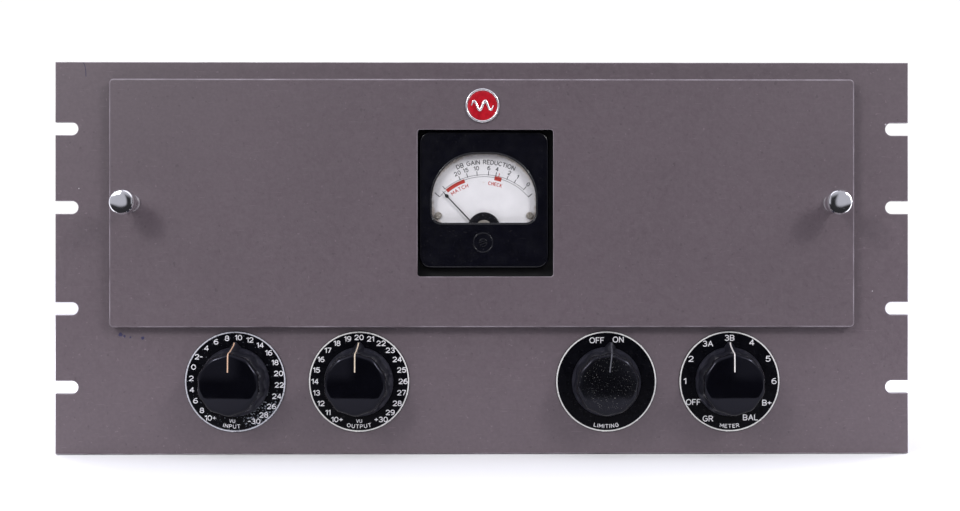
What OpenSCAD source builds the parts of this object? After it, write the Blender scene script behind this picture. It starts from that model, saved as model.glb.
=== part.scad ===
// Rack-mounted valve limiting amplifier, five rack units high.
// +X is to the right seen from the front, +Y runs to the rear and +Z is up.
// The origin is on the bottom edge of the panel's rear face, at its middle.

/* [Rack panel] */
// Overall width of the panel
panel_w = 482.6; // [480:0.1:485]
// Height of the panel
panel_h = 221.5; // [221:0.1:222.5]
// Thickness of the panel
panel_t = 4.76; // [4:0.01:5]
// Height of each open rack notch
notch_h = 7.14; // [6.8:0.01:7.4]
// Distance from the panel's side edge to the centre of a notch's round end
notch_in = 9.3; // [8.5:0.1:10]
// Spacing of the two inner notches on one side
notch_pair_inner = 57.15; // [57:0.01:57.3]
// Spacing of the two outer notches on one side
notch_pair_outer = 146.05; // [146:0.01:146.1]

/* [Front cover] */
// Width of the lift-off cover
cover_w = 419.1; // [415:0.1:422]
// Height of the cover
cover_h = 139.7; // [138:0.1:141]
// Height of the cover's middle above the panel's bottom edge
cover_z = 141.65; // [141:0.05:142]
// How far the cover stands out from the panel
cover_d = 6.35; // [6:0.05:7]
// Sheet thickness of the cover
cover_sheet = 1.2; // [0.8:0.1:1.5]
// Distance of each thumbscrew from the middle
thumb_x = 196.85; // [195:0.05:198]

/* [Controls] */
// Height of the row of knobs
control_z = 40.9; // [39:0.1:42]
// Spacing of the dials on each side
control_pitch = 69.85; // [68:0.05:72]
// Diameter of a dial plate
dial_d = 57.15; // [54:0.05:58]
// Diameter of a knob at its skirt
knob_d = 39; // [36:0.5:40]
// Height of a knob
knob_h = 24; // [22:0.5:25]
// Diameter of a control shaft
shaft_d = 6.35; // [6:0.01:6.5]

/* [Meter] */
// Width of the meter's flange
meter_w = 73.5; // [73:0.1:75]
// Height of the meter's flange
meter_h = 77.5; // [77:0.1:79]
// Sideways place of the meter
meter_x = 0.65; // [0:0.05:2]
// Height of the meter's middle
meter_z = 143.7; // [143:0.1:144.5]
// Length of the needle from its pivot
needle_l = 34.3; // [30:0.1:35]
// Angle of the resting needle left of upright
needle_rest = 43.3; // [42:0.1:44]

/* [Chassis] */
// Width of the chassis pan
chassis_w = 438.2; // [436:0.1:439]
// Height of the chassis pan
chassis_h = 212.7; // [210:0.1:213]
// Depth of the chassis pan
chassis_d = 66.7; // [66:0.1:68]
// Sheet thickness of the chassis
chassis_sheet = 1.6; // [1.2:0.1:1.8]
// Depth of the side brackets behind the panel
bracket_d = 186; // [180:1:200]
// Thickness of the side brackets
bracket_t = 3.2; // [2.5:0.1:3.5]

/* [Hidden] */
$fn = 48;

// Running clearance of a shaft in its bush, on the radius
run_gap = 0.04;
shaft_r = shaft_d / 2;
bush_r = shaft_r + run_gap;
panel_front = -panel_t;
cover_front = panel_front - cover_d;

control_x = [-2 * control_pitch, -control_pitch, control_pitch, 2 * control_pitch];
dial_t = 1;
dial_front = panel_front - dial_t;
bush_outer_r = 4.76;
bush_hole_r = 4.85;
bush_front = dial_front - 3.2;
nut_t = 2.4;
knob_gap = 0.75;
knob_back = dial_front - knob_gap;
knob_r = knob_d / 2;
knob_top_r = knob_r - 2.3;
knob_rim = 2.2;
flutes = 10;
pointer_r = 22.5;
shaft_front = knob_back - 18;

// Clear opening in the panel behind the cover
window_w = 372;
window_low = 88;
window_high = 190;

meter_face = -7;
meter_wall = 1.2;
meter_body_r = 31.5;
meter_bore_r = 29.5;
meter_rear = 32;
pivot_z = meter_z - 20.2;
window_half = 29.3;
window_bottom = 130.7 - meter_z;
window_top_r = 25.5;
window_top_z = 0.3;
window_top_x = 3.8;
glass_t = 1;
glass_lap = 1.2;
scale_front = -2;
needle_front = -3.6;
needle_t = 0.5;
pivot_r = 0.5;

chassis_low = (panel_h - chassis_h) / 2;
chassis_side = chassis_w / 2;
flange = 12.7;
deck = chassis_d;
deck_inside = chassis_d - chassis_sheet;

thumb_stud_r = 2.38;
thumb_reach = 8;
insert_r = 5;

// Places of the parts on the rear deck, as [x, z]
metal_tube_places = [
    [-185, 186], [-145, 186], [-105, 186], [-65, 186], [-25, 186], [-185, 142], [-145, 142],
];
output_tube_places = [[20, 186], [65, 186]];
regulator_tube_places = [[-98, 142], [-50, 142]];
rectifier_place = [150, 166];
capacitor_places = [[-4, 140], [41, 140], [86, 140]];
tube_places = concat(
    metal_tube_places, output_tube_places, regulator_tube_places, [rectifier_place]
);
socket_hole_r = 14.3;
socket_face = deck + 2.4;

power_place = [150, 72];
choke_place = [60, 62];
output_place = [-12, 66];
interstage_place = [-80, 66];
input_place = [-140, 66];
audio_terminal_place = [-100, 17];
power_terminal_place = [84, 17];
fuse_place = [24, 17];

paint = [0.41, 0.37, 0.40];
bakelite = [0.03, 0.03, 0.035];
steel = [0.62, 0.63, 0.64];
chrome = [0.85, 0.86, 0.88];
brass = [0.72, 0.60, 0.34];
phenolic = [0.42, 0.27, 0.15];

// Stands a flat outline drawn in x and z on the plane y, and thickens it towards the front
module forward(y, thickness) {
    translate([0, y, 0])
        rotate([90, 0, 0])
            linear_extrude(thickness)
                children();
}

// The same, thickened towards the rear
module rearward(y, thickness) {
    forward(y + thickness, thickness) children();
}

// Turns a shape built along +Z so that it points to the front from the given place
module front_axis(x, y, z) {
    translate([x, y, z])
        rotate([90, 0, 0])
            children();
}

// Turns a shape built along +Z so that it points to the rear
module rear_axis(x, y, z) {
    translate([x, y, z])
        rotate([-90, 0, 0])
            children();
}

module rounded_rect(w, h, r) {
    square([w - 2 * r, h], center = true);
    square([w, h - 2 * r], center = true);
    for (sx = [-1, 1], sz = [-1, 1])
        translate([sx * (w / 2 - r), sz * (h / 2 - r)])
            circle(r);
}

module hexagon(across) {
    circle(r = across / sqrt(3), $fn = 6);
}

module box_between(low, high) {
    translate(low) cube(high - low);
}

// ---- Panel and cover ----

// Open-ended notches in both side edges, cut right through the panel
module rack_notches() {
    for (side = [-1, 1], spacing = [notch_pair_inner, notch_pair_outer], up = [-1, 1])
        translate([side * (panel_w / 2 - notch_in), 0, panel_h / 2 + up * spacing / 2]) {
            front_axis(0, 1, 0) cylinder(d = notch_h, h = panel_t + 2);
            translate([side * (notch_in + 1) / 2, -panel_t / 2, 0])
                cube([notch_in + 1, panel_t + 2, notch_h], center = true);
        }
}

// Welded studs that hold the chassis flange
chassis_stud_places = concat(
    [for (side = [-1, 1], z = [30, 110.75, 191.5]) [side * (chassis_side - flange / 2), z]],
    [for (side = [-1, 1], z = [10.7, 210.8]) [side * 100, z]]
);
chassis_stud_r = 2.38;

// Welded studs that hold the meter bracket
meter_stud_places = [for (side = [-1, 1], z = [83.5, 194.5]) [meter_x + side * 48, z]];
meter_stud_r = 1.9;

module front_panel() {
    color(paint) {
        difference() {
            box_between([-panel_w / 2, -panel_t, 0], [panel_w / 2, 0, panel_h]);
            rack_notches();
            forward(1, panel_t + 2)
                translate([0, (window_low + window_high) / 2])
                    rounded_rect(window_w, window_high - window_low, 6);
            for (x = control_x)
                front_axis(x, 1, control_z) cylinder(r = bush_hole_r, h = panel_t + 2);
            for (side = [-1, 1])
                front_axis(side * thumb_x, 1, cover_z)
                    cylinder(r = thumb_stud_r + 0.5, h = panel_t + 2);
        }
        for (p = chassis_stud_places)
            rear_axis(p[0], 0, p[1]) cylinder(r = chassis_stud_r, h = 8);
        for (p = meter_stud_places)
            rear_axis(p[0], 0, p[1]) cylinder(r = meter_stud_r, h = 6);
    }
}

cover_hole_r = 3.3;
cover_window_w = 76.2;
cover_window_h = 82.55;
cover_window_x = 1.6;

module front_cover() {
    color(paint)
        difference() {
            forward(panel_front, cover_d)
                translate([0, cover_z])
                    rounded_rect(cover_w, cover_h, 2.5);
            forward(panel_front + 1, cover_d - cover_sheet + 1)
                translate([0, cover_z])
                    rounded_rect(cover_w - 2 * cover_sheet, cover_h - 2 * cover_sheet, 1.3);
            forward(panel_front, cover_d + 1)
                translate([cover_window_x, cover_z])
                    rounded_rect(cover_window_w, cover_window_h, 1.5);
            for (side = [-1, 1])
                front_axis(side * thumb_x, panel_front, cover_z)
                    cylinder(r = cover_hole_r, h = cover_d + 1);
        }
}

badge_z = 196.5;
badge_r = 9.75;
badge_inner_r = 8.3;

module badge_bezel() {
    color(chrome)
        front_axis(0, cover_front, badge_z)
            rotate_extrude()
                polygon([
                    [badge_inner_r, 0], [badge_r, 0], [badge_r, 0.8],
                    [badge_r - 0.5, 1.5], [badge_inner_r + 0.4, 1.5], [badge_inner_r, 1],
                ]);
}

module badge_enamel() {
    color([0.62, 0.05, 0.05])
        front_axis(0, cover_front, badge_z)
            cylinder(r = badge_inner_r, h = 0.8);
}

// ---- Captive thumbscrews ----

thumb_out = 25;
ring_back = 1.9;
ring_t = 0.6;
groove_r = 2.35;

module thumbscrew(x) {
    color(chrome)
        front_axis(x, cover_front, cover_z) {
            rotate_extrude()
                polygon([
                    [0, 0], [5.2, 0], [5.2, 1.5], [4.1, 3], [4.1, 15.5], [6.6, 17.5],
                    [6.6, 19], [5.9, 19.6], [7.25, 20.6], [7.25, 23.6], [6.3, 24.4], [0, thumb_out],
                ]);
            // Shank behind the head, with the groove for the retaining ring, then the stud
            rotate_extrude()
                polygon([
                    [0, 0.01], [3, 0.01], [3, -cover_sheet - 0.1], [groove_r, -cover_sheet - 0.1],
                    [groove_r, -ring_back], [thumb_stud_r, -ring_back],
                    [thumb_stud_r, cover_front - thumb_reach + 0.8],
                    [thumb_stud_r - 0.8, cover_front - thumb_reach],
                    [0, cover_front - thumb_reach],
                ]);
        }
}

module thumbscrew_left() {
    thumbscrew(-thumb_x);
}

module thumbscrew_right() {
    thumbscrew(thumb_x);
}

module retaining_ring(x) {
    color(steel)
        front_axis(x, cover_front + cover_sheet + 0.1, cover_z)
            rotate_extrude()
                polygon([
                    [groove_r, -ring_t], [5.2, -ring_t], [5.2, 0], [groove_r, 0],
                ]);
}

module retaining_ring_left() {
    retaining_ring(-thumb_x);
}

module retaining_ring_right() {
    retaining_ring(thumb_x);
}

module thumbscrew_inserts() {
    color(steel)
        for (side = [-1, 1])
            rear_axis(side * thumb_x, 0, cover_z)
                difference() {
                    cylinder(r = insert_r, h = 7);
                    translate([0, 0, -1]) cylinder(r = thumb_stud_r + 0.06, h = 9);
                }
}

// ---- Dials, knobs and shafts ----

module dial_plate(x) {
    color([0.05, 0.05, 0.05])
        front_axis(x, panel_front, control_z)
            difference() {
                cylinder(d = dial_d, h = dial_t);
                translate([0, 0, -1]) cylinder(r = bush_hole_r, h = dial_t + 2);
            }
}

module input_dial_plate() {
    dial_plate(control_x[0]);
}

module output_dial_plate() {
    dial_plate(control_x[1]);
}

module limiting_dial_plate() {
    dial_plate(control_x[2]);
}

module selector_dial_plate() {
    dial_plate(control_x[3]);
}

module knob_outline() {
    difference() {
        union() {
            polygon([
                [0, 0], [knob_r, 0], [knob_r, 1.6], [knob_top_r, knob_h - knob_rim],
                [knob_top_r - knob_rim, knob_h - 0.5], [0, knob_h],
            ]);
            translate([knob_top_r - knob_rim, knob_h - knob_rim - 0.5])
                circle(knob_rim);
        }
        translate([-5, -1]) square([5, knob_h + 2]);
    }
}

module knob(x, turn) {
    color(bakelite)
        front_axis(x, knob_back, control_z)
            rotate(-turn)
                difference() {
                    union() {
                        rotate_extrude() knob_outline();
                        linear_extrude(3)
                            polygon([
                                [-2.4, knob_r - 2], [2.4, knob_r - 2],
                                [0.9, pointer_r], [-0.9, pointer_r],
                            ]);
                    }
                    for (i = [0:flutes - 1])
                        rotate(i * 360 / flutes)
                            translate([knob_r + 1.2, 0, 3.2])
                                cylinder(r = 5, h = knob_h);
                    translate([0, 0, -1]) cylinder(r = shaft_r + 0.01, h = 19);
                    translate([0, 0, -1]) cylinder(r = 10, h = 5);
                }
}

limiting_rest = 7;

module input_knob() {
    knob(control_x[0], 0);
}

module output_knob() {
    knob(control_x[1], 0);
}

module limiting_knob() {
    knob(control_x[2], limiting_rest);
}

module selector_knob() {
    knob(control_x[3], 0);
}

// A control shaft, with a wiper arm that sweeps inside its attenuator
wiper_y = 22;
wiper_r = 21;
attenuator_r = 28.4;
attenuator_d = 45;
// The body stands off the panel on a boss, clear of the chassis flange
attenuator_boss_r = 12;
attenuator_gap = 3;

module attenuator_shaft(x) {
    color(brass)
        union() {
            rear_axis(x, shaft_front, control_z)
                cylinder(r = shaft_r, h = 36 - shaft_front);
            rear_axis(x, wiper_y, control_z)
                cylinder(r = 8, h = 4);
            box_between([x - 2, wiper_y + 1, control_z], [x + 2, wiper_y + 3, control_z + wiper_r]);
        }
}

module switch_shaft(x, turn) {
    color(brass)
        union() {
            rear_axis(x, shaft_front, control_z)
                cylinder(r = shaft_r, h = 34 - shaft_front);
            translate([x, 0, control_z])
                rotate([0, turn, 0])
                    box_between([-7, 18, -1.5], [7, 22, 1.5]);
        }
}

module input_shaft() {
    attenuator_shaft(control_x[0]);
}

module output_shaft() {
    attenuator_shaft(control_x[1]);
}

module limiting_shaft() {
    switch_shaft(control_x[2], limiting_rest);
}

module selector_shaft() {
    switch_shaft(control_x[3], 0);
}

module bushing_nuts() {
    color(chrome)
        for (x = control_x)
            front_axis(x, dial_front, control_z)
                difference() {
                    linear_extrude(nut_t) hexagon(12.7);
                    translate([0, 0, -1]) cylinder(r = bush_outer_r + 0.02, h = nut_t + 2);
                }
}

module bushing(x) {
    rear_axis(x, bush_front, control_z)
        difference() {
            cylinder(r = bush_outer_r, h = -bush_front);
            translate([0, 0, -1]) cylinder(r = bush_r, h = 2 - bush_front);
        }
}

contact_stud_y = 26.6;

module attenuator(x, contacts) {
    color(steel) {
        bushing(x);
        rear_axis(x, 0, control_z)
            difference() {
                union() {
                    cylinder(r = attenuator_boss_r, h = attenuator_gap + 1);
                    translate([0, 0, attenuator_gap])
                        cylinder(r = attenuator_r, h = attenuator_d - attenuator_gap);
                }
                translate([0, 0, attenuator_gap + 2])
                    cylinder(r = attenuator_r - 1, h = attenuator_d - attenuator_gap - 3);
                translate([0, 0, -1]) cylinder(r = bush_r, h = attenuator_gap + 5);
            }
    }
    color(phenolic)
        rear_axis(x, contact_stud_y + 1, control_z)
            difference() {
                cylinder(r = attenuator_r - 1, h = 3);
                translate([0, 0, -1]) cylinder(r = bush_r, h = 5);
            }
    color(brass)
        for (i = [0:contacts - 1])
            rotate_about(x, control_z, (i - (contacts - 1) / 2) * 15)
                rear_axis(x, contact_stud_y, control_z + wiper_r - 3)
                    cylinder(r = 1.4, h = 1.5);
}

module rotate_about(x, z, turn) {
    translate([x, 0, z])
        rotate([0, turn, 0])
            translate([-x, 0, -z])
                children();
}

module input_attenuator() {
    attenuator(control_x[0], 21);
}

module output_attenuator() {
    attenuator(control_x[1], 21);
}

// An open wafer switch: detent plate, spacers and phenolic wafers round the shaft
module wafer_switch(x, wafers) {
    color(steel) {
        bushing(x);
        rear_axis(x, 0, control_z)
            difference() {
                linear_extrude(3) rounded_rect(32, 40, 4);
                translate([0, 0, -1]) cylinder(r = bush_r, h = 5);
            }
        for (up = [-1, 1])
            rear_axis(x, 3, control_z + up * 16)
                cylinder(r = 2.2, h = wafers[len(wafers) - 1] - 3);
    }
    color(phenolic)
        for (y = wafers)
            rear_axis(x, y, control_z)
                difference() {
                    cylinder(r = 20, h = 1.6);
                    translate([0, 0, -1]) cylinder(r = shaft_r + 0.4, h = 4);
                }
}

module limiting_switch() {
    wafer_switch(control_x[2], [24]);
}

module selector_switch() {
    wafer_switch(control_x[3], [24, 30]);
}

// ---- Meter ----

module meter_window_outline(grow) {
    difference() {
        union() {
            for (side = [-1, 1])
                translate([side * window_top_x, window_top_z])
                    circle(window_top_r + grow);
            translate([-window_top_x, window_top_z])
                square([2 * window_top_x, window_top_r + grow]);
            translate([-window_half - grow, window_bottom - grow])
                square([2 * (window_half + grow), window_top_z - window_bottom + grow]);
        }
        translate([-50, window_bottom - grow - 50])
            square([100, 50]);
    }
}

meter_screw_x = 28.8;
meter_screw_z = 31.5;

module meter_case() {
    color(bakelite) {
        difference() {
            union() {
                forward(0, -meter_face)
                    translate([meter_x, meter_z])
                        rounded_rect(meter_w, meter_h, 7);
                rear_axis(meter_x, 0, meter_z)
                    cylinder(r = meter_body_r, h = meter_rear);
            }
            forward(meter_face + 3, 4)
                translate([meter_x, meter_z])
                    meter_window_outline(0);
            forward(scale_front + 0.8, -meter_face - meter_wall + scale_front + 0.8)
                translate([meter_x, meter_z])
                    rounded_rect(66, 70, 5);
            rear_axis(meter_x, scale_front, meter_z)
                cylinder(r = meter_bore_r, h = meter_rear - scale_front - 2);
            front_axis(meter_x - 0.45, scale_front, pivot_z - 4)
                cylinder(r = 2.45, h = 10);
        }
        for (side = [-1, 1], up = [-1, 1])
            rear_axis(meter_x + side * meter_screw_x, 0, meter_z + up * meter_screw_z)
                cylinder(r = 1.5, h = 6);
    }
}

module meter_window() {
    color([0.85, 0.9, 0.9, 0.35])
        forward(meter_face + meter_wall + glass_t, glass_t)
            translate([meter_x, meter_z])
                meter_window_outline(glass_lap);
}

scale_screw_x = 25.9;
scale_screw_z = 134.9;

module meter_scale() {
    color([0.9, 0.87, 0.76])
        forward(scale_front + 0.8, 0.8)
            difference() {
                translate([meter_x, 150])
                    rounded_rect(63, 44, 2);
                for (side = [-1, 1])
                    translate([meter_x + side * scale_screw_x, scale_screw_z])
                        circle(1.05);
            }
}

module meter_scale_screws() {
    color(brass)
        for (side = [-1, 1])
            front_axis(meter_x + side * scale_screw_x, scale_front, scale_screw_z)
                difference() {
                    union() {
                        cylinder(r = 2, h = 0.9);
                        translate([0, 0, -1.4]) cylinder(r = 1, h = 2);
                    }
                    translate([-3, -0.25, 0.5]) cube([6, 0.5, 1]);
                }
}

coil_r = 6.2;
coil_end = 12;

module meter_needle() {
    color([0.04, 0.04, 0.04])
        translate([meter_x, 0, pivot_z])
            rotate([0, -needle_rest, 0]) {
                difference() {
                    union() {
                        rear_axis(0, needle_front, 0) cylinder(r = 1.6, h = 1.8 - needle_front);
                        rear_axis(0, 1.2, 0) cylinder(r = coil_r, h = coil_end - 1.2);
                        rearward(needle_front, needle_t) {
                            polygon([
                                [-0.45, 0], [0.45, 0], [0.3, needle_l - 5],
                                [0.9, needle_l - 4], [0, needle_l], [-0.9, needle_l - 4],
                                [-0.3, needle_l - 5],
                            ]);
                            translate([-0.4, -6]) square([0.8, 6]);
                            translate([0, -6]) circle(1.1);
                        }
                    }
                    rear_axis(0, 1.8, 0) cylinder(r = coil_r - 0.6, h = coil_end);
                    rear_axis(0, needle_front - 1, 0) cylinder(r = pivot_r + 0.05, h = 8);
                }
            }
}

module meter_hub_cover() {
    color(bakelite) {
        forward(-4, 0.7)
            translate([meter_x, 125.8])
                circle(10.5);
        for (side = [-1, 1])
            rear_axis(meter_x + side * 8, -4.2, pivot_z) cylinder(r = 0.6, h = 6.2);
    }
}

module meter_movement() {
    color(steel) {
        difference() {
            rearward(2, 12)
                intersection() {
                    translate([meter_x, meter_z]) circle(28.8);
                    translate([meter_x - 22, 114]) square([44, 38]);
                }
            rear_axis(meter_x, 1, pivot_z) cylinder(r = 7, h = 12);
        }
        rear_axis(meter_x, 2.6, pivot_z) cylinder(r = 5, h = 11.5);
        rear_axis(meter_x, -3.7, pivot_z) cylinder(r = pivot_r, h = 7);
        for (side = [-1, 1])
            rear_axis(meter_x + side * 16, 14, 140) cylinder(r = 2.5, h = meter_rear - 16);
    }
}

module meter_zero_screw() {
    color(bakelite)
        front_axis(meter_x - 0.45, -5.2, pivot_z - 4)
            difference() {
                union() {
                    cylinder(r = 3.2, h = 0.55);
                    cylinder(r = 2.4, h = 2.3);
                }
                translate([-3, -0.35, 1.6]) cube([6, 0.7, 1]);
            }
}

bracket_sheet = 1.6;

module meter_bracket() {
    color([0.05, 0.05, 0.055])
        rearward(0, bracket_sheet)
            difference() {
                translate([meter_x, (window_low + window_high) / 2])
                    rounded_rect(124, window_high - window_low + 18, 3);
                translate([meter_x, meter_z])
                    circle(meter_body_r + 0.3);
                for (side = [-1, 1], up = [-1, 1])
                    translate([meter_x + side * meter_screw_x, meter_z + up * meter_screw_z])
                        circle(1.7);
                for (p = meter_stud_places)
                    translate(p) circle(meter_stud_r + 0.2);
                for (side = [-1, 1])
                    translate([meter_x + side * balance_x, meter_z])
                        circle(balance_bush_r + 0.1);
            }
}

module meter_nuts() {
    color(brass) {
        for (side = [-1, 1], up = [-1, 1])
            rear_axis(meter_x + side * meter_screw_x, bracket_sheet, meter_z + up * meter_screw_z)
                difference() {
                    linear_extrude(2.2) hexagon(5.5);
                    translate([0, 0, -1]) cylinder(r = 1.52, h = 5);
                }
        for (p = meter_stud_places)
            rear_axis(p[0], bracket_sheet, p[1])
                difference() {
                    linear_extrude(2.8) hexagon(7);
                    translate([0, 0, -1]) cylinder(r = meter_stud_r + 0.02, h = 5);
                }
    }
}

// ---- Chassis ----

module chassis() {
    color(steel)
        difference() {
            box_between(
                [-chassis_side, 0, chassis_low],
                [chassis_side, chassis_d, chassis_low + chassis_h]
            );
            box_between(
                [-chassis_side + chassis_sheet, chassis_sheet, chassis_low + chassis_sheet],
                [chassis_side - chassis_sheet, deck_inside, chassis_low + chassis_h - chassis_sheet]
            );
            box_between(
                [-chassis_side + flange, -1, chassis_low + flange],
                [chassis_side - flange, 10, chassis_low + chassis_h - flange]
            );
            for (p = chassis_stud_places)
                rear_axis(p[0], -1, p[1]) cylinder(r = chassis_stud_r + 0.3, h = 4);
            for (p = tube_places)
                rear_axis(p[0], deck_inside - 1, p[1]) cylinder(r = socket_hole_r, h = 5);
            for (p = capacitor_places)
                rear_axis(p[0], deck_inside - 1, p[1]) cylinder(r = 9.1, h = 5);
            rear_axis(fuse_place[0], deck_inside - 1, fuse_place[1]) cylinder(r = 6.4, h = 5);
            for (side = [-1, 1], p = bracket_screw_places)
                translate([side * (chassis_side - 3), p[0], p[1]])
                    rotate([0, 90, 0])
                        cylinder(r = bracket_screw_r + 0.1, h = 8, center = true);
        }
}

bracket_screw_places = [[16, 40], [50, 40], [16, 180], [50, 180]];
bracket_screw_r = 2.4;
foot_w = 16;

// Side plate with a turned-in foot along its bottom
module side_bracket(side) {
    color(paint)
        difference() {
            union() {
                translate([side > 0 ? chassis_side : -chassis_side - bracket_t, 0, 0])
                    rotate([90, 0, 90])
                        linear_extrude(bracket_t)
                            polygon([
                                [0, 0], [bracket_d, 0], [bracket_d, 120], [bracket_d - 36, 200],
                                [bracket_d - 60, 212], [0, 212],
                            ]);
                translate([side > 0 ? chassis_side - foot_w : -chassis_side - 1, 0.5, 0])
                    cube([foot_w + 1, bracket_d - 0.5, bracket_t]);
            }
            for (p = bracket_screw_places)
                translate([side * (chassis_side + 1), p[0], p[1]])
                    rotate([0, 90, 0])
                        cylinder(r = bracket_screw_r + 0.1, h = 8, center = true);
        }
}

module side_bracket_left() {
    side_bracket(-1);
}

module side_bracket_right() {
    side_bracket(1);
}

module bracket_screws() {
    color(brass)
        for (side = [-1, 1], p = bracket_screw_places)
            translate([side * chassis_side, p[0], p[1]])
                rotate([0, side * 90, 0]) {
                    difference() {
                        union() {
                            translate([0, 0, -7]) cylinder(r = bracket_screw_r, h = 9);
                            translate([0, 0, bracket_t]) cylinder(r = 4.5, h = 2.6);
                            cylinder(r = bracket_screw_r, h = bracket_t + 1);
                        }
                        translate([-6, -0.6, bracket_t + 1.4]) cube([12, 1.2, 2]);
                    }
                    translate([0, 0, -chassis_sheet - 3.2])
                        difference() {
                            linear_extrude(3.2) hexagon(8.7);
                            translate([0, 0, -1]) cylinder(r = bracket_screw_r + 0.02, h = 6);
                        }
                }
}

module chassis_nuts() {
    color(steel)
        for (p = chassis_stud_places)
            rear_axis(p[0], chassis_sheet, p[1])
                difference() {
                    rotate(abs(p[0]) > 200 ? 30 : 0) linear_extrude(3.2) hexagon(8.7);
                    translate([0, 0, -1]) cylinder(r = chassis_stud_r + 0.02, h = 6);
                }
}

// ---- Wiring side of the deck ----

// Each board as [left, right]
board_spans = [[-196, -44], [48, 196]];
board_low = 86;
board_high = 124;
board_y = 46;
board_t = 2.4;
component_pitch = 12;

module component_boards() {
    for (span = board_spans) {
        color(phenolic)
            box_between([span[0], board_y, board_low], [span[1], board_y + board_t, board_high]);
        color(brass)
            for (x = [span[0] + 8, span[1] - 8], z = [board_low + 6, board_high - 6])
                rear_axis(x, board_y + board_t, z)
                    cylinder(r = 3, h = deck_inside - board_y - board_t);
    }
}

module board_components() {
    for (span = board_spans)
        for (i = [1:floor((span[1] - span[0]) / component_pitch) - 1]) {
            big = i % 3 == 0;
            r = big ? 4.6 : 2.6;
            half = big ? 12 : 7;
            x = span[0] + 6 + i * component_pitch;
            color(big ? [0.75, 0.6, 0.35] : [0.4, 0.25, 0.18])
                translate([x, board_y - r, (board_low + board_high) / 2]) {
                    translate([0, 0, -half]) cylinder(r = r, h = 2 * half);
                    translate([0, r - 1.2, -16]) cylinder(r = 0.5, h = 32);
                }
        }
}

balance_x = 50;
balance_bush_r = 4.7;
balance_front = -3;

module balance_controls() {
    color(steel)
        for (side = [-1, 1])
            rear_axis(meter_x + side * balance_x, 0, meter_z)
                difference() {
                    union() {
                        translate([0, 0, bracket_sheet]) cylinder(r = 11.5, h = 15);
                        translate([0, 0, -2]) cylinder(r = balance_bush_r, h = 5);
                        translate([0, 0, -2])
                            linear_extrude(2) hexagon(12);
                    }
                    translate([0, 0, -3]) cylinder(r = bush_r, h = 17);
                }
}

module balance_shaft(side) {
    color(brass)
        rear_axis(meter_x + side * balance_x, balance_front, meter_z)
            difference() {
                cylinder(r = shaft_r, h = 16);
                translate([-5, -0.6, -1]) cube([10, 1.2, 2.2]);
            }
}

module balance_shaft_left() {
    balance_shaft(-1);
}

module balance_shaft_right() {
    balance_shaft(1);
}

// Laced wiring: a trunk along the deck, two risers, an upper run and drops to the controls
trunk_y = 57;
trunk_z = 76;
upper_z = 164;
riser_x = [-165, 116];
trunk_r = 4;
branch_r = 3;

module wiring_harness() {
    color([0.55, 0.42, 0.22])
        union() {
            translate([-200, trunk_y, trunk_z])
                rotate([0, 90, 0]) cylinder(r = trunk_r, h = 400);
            for (x = riser_x)
                translate([x, trunk_y, trunk_z]) cylinder(r = branch_r, h = upper_z - trunk_z);
            for (x = riser_x)
                translate([x, trunk_y, upper_z]) sphere(branch_r);
            translate([riser_x[0], trunk_y, upper_z])
                rotate([0, 90, 0]) cylinder(r = branch_r, h = riser_x[1] - riser_x[0]);
            for (x = control_x)
                translate([x, trunk_y, 44]) cylinder(r = branch_r, h = trunk_z - 44);
        }
}

// ---- Parts on the rear deck ----

// Laminated core between two drawn end bells, on a mounting flange
module power_transformer() {
    stack = 30;
    bell = 33;
    foot_t = 1.6;
    core_y = deck + foot_t + bell;
    color([0.05, 0.05, 0.055]) {
        rearward(deck, foot_t)
            translate(power_place) rounded_rect(92, 84, 5);
        rearward(deck + foot_t, bell)
            translate(power_place) rounded_rect(76, 66, 9);
        rearward(core_y + stack, bell)
            translate(power_place) rounded_rect(76, 66, 9);
    }
    color([0.2, 0.2, 0.21]) {
        rearward(core_y, stack)
            translate(power_place) square([84, 72], center = true);
        for (sx = [-1, 1], sz = [-1, 1])
            rear_axis(power_place[0] + sx * 38.5, core_y + stack, power_place[1] + sz * 32.5)
                linear_extrude(3) hexagon(6);
    }
}

module filter_choke() {
    color([0.2, 0.2, 0.21]) {
        rearward(deck + 10, 20)
            translate(choke_place)
                difference() {
                    square([56, 46], center = true);
                    for (side = [-1, 1])
                        translate([side * 14, 0]) square([10, 26], center = true);
                }
        // Strap round the core, with a lug at each end
        rearward(deck, 1.6)
            translate(choke_place)
                difference() {
                    square([80, 20], center = true);
                    for (side = [-1, 1])
                        translate([side * 35, 0]) circle(2.4);
                }
        for (side = [-1, 1])
            translate([choke_place[0] + side * 29 - 0.8, deck, choke_place[1] - 10])
                cube([1.6, 31, 20]);
        box_between(
            [choke_place[0] - 29, deck + 30, choke_place[1] - 10],
            [choke_place[0] + 29, deck + 31.6, choke_place[1] + 10]
        );
    }
    color([0.5, 0.36, 0.18])
        for (side = [-1, 1])
            translate([choke_place[0] + side * 14, deck + 20, choke_place[1]])
                cube([9.6, 34, 25.6], center = true);
}

module potted_can(place, w, h, d) {
    rearward(deck, d)
        translate(place) rounded_rect(w, h, 8);
    rearward(deck + d, 1.2)
        translate(place) rounded_rect(w - 6, h - 6, 6);
}

module output_transformer() {
    color([0.3, 0.32, 0.33]) potted_can(output_place, 60, 68, 84);
}

module interstage_transformer() {
    color([0.3, 0.32, 0.33]) potted_can(interstage_place, 46, 52, 64);
}

module input_transformer() {
    color(steel)
        rear_axis(input_place[0], deck, input_place[1])
            rotate_extrude()
                polygon([
                    [0, 0], [26, 0], [26, 1.6], [22, 1.6], [22, 56], [20, 58.5], [0, 58.5],
                ]);
}

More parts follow.
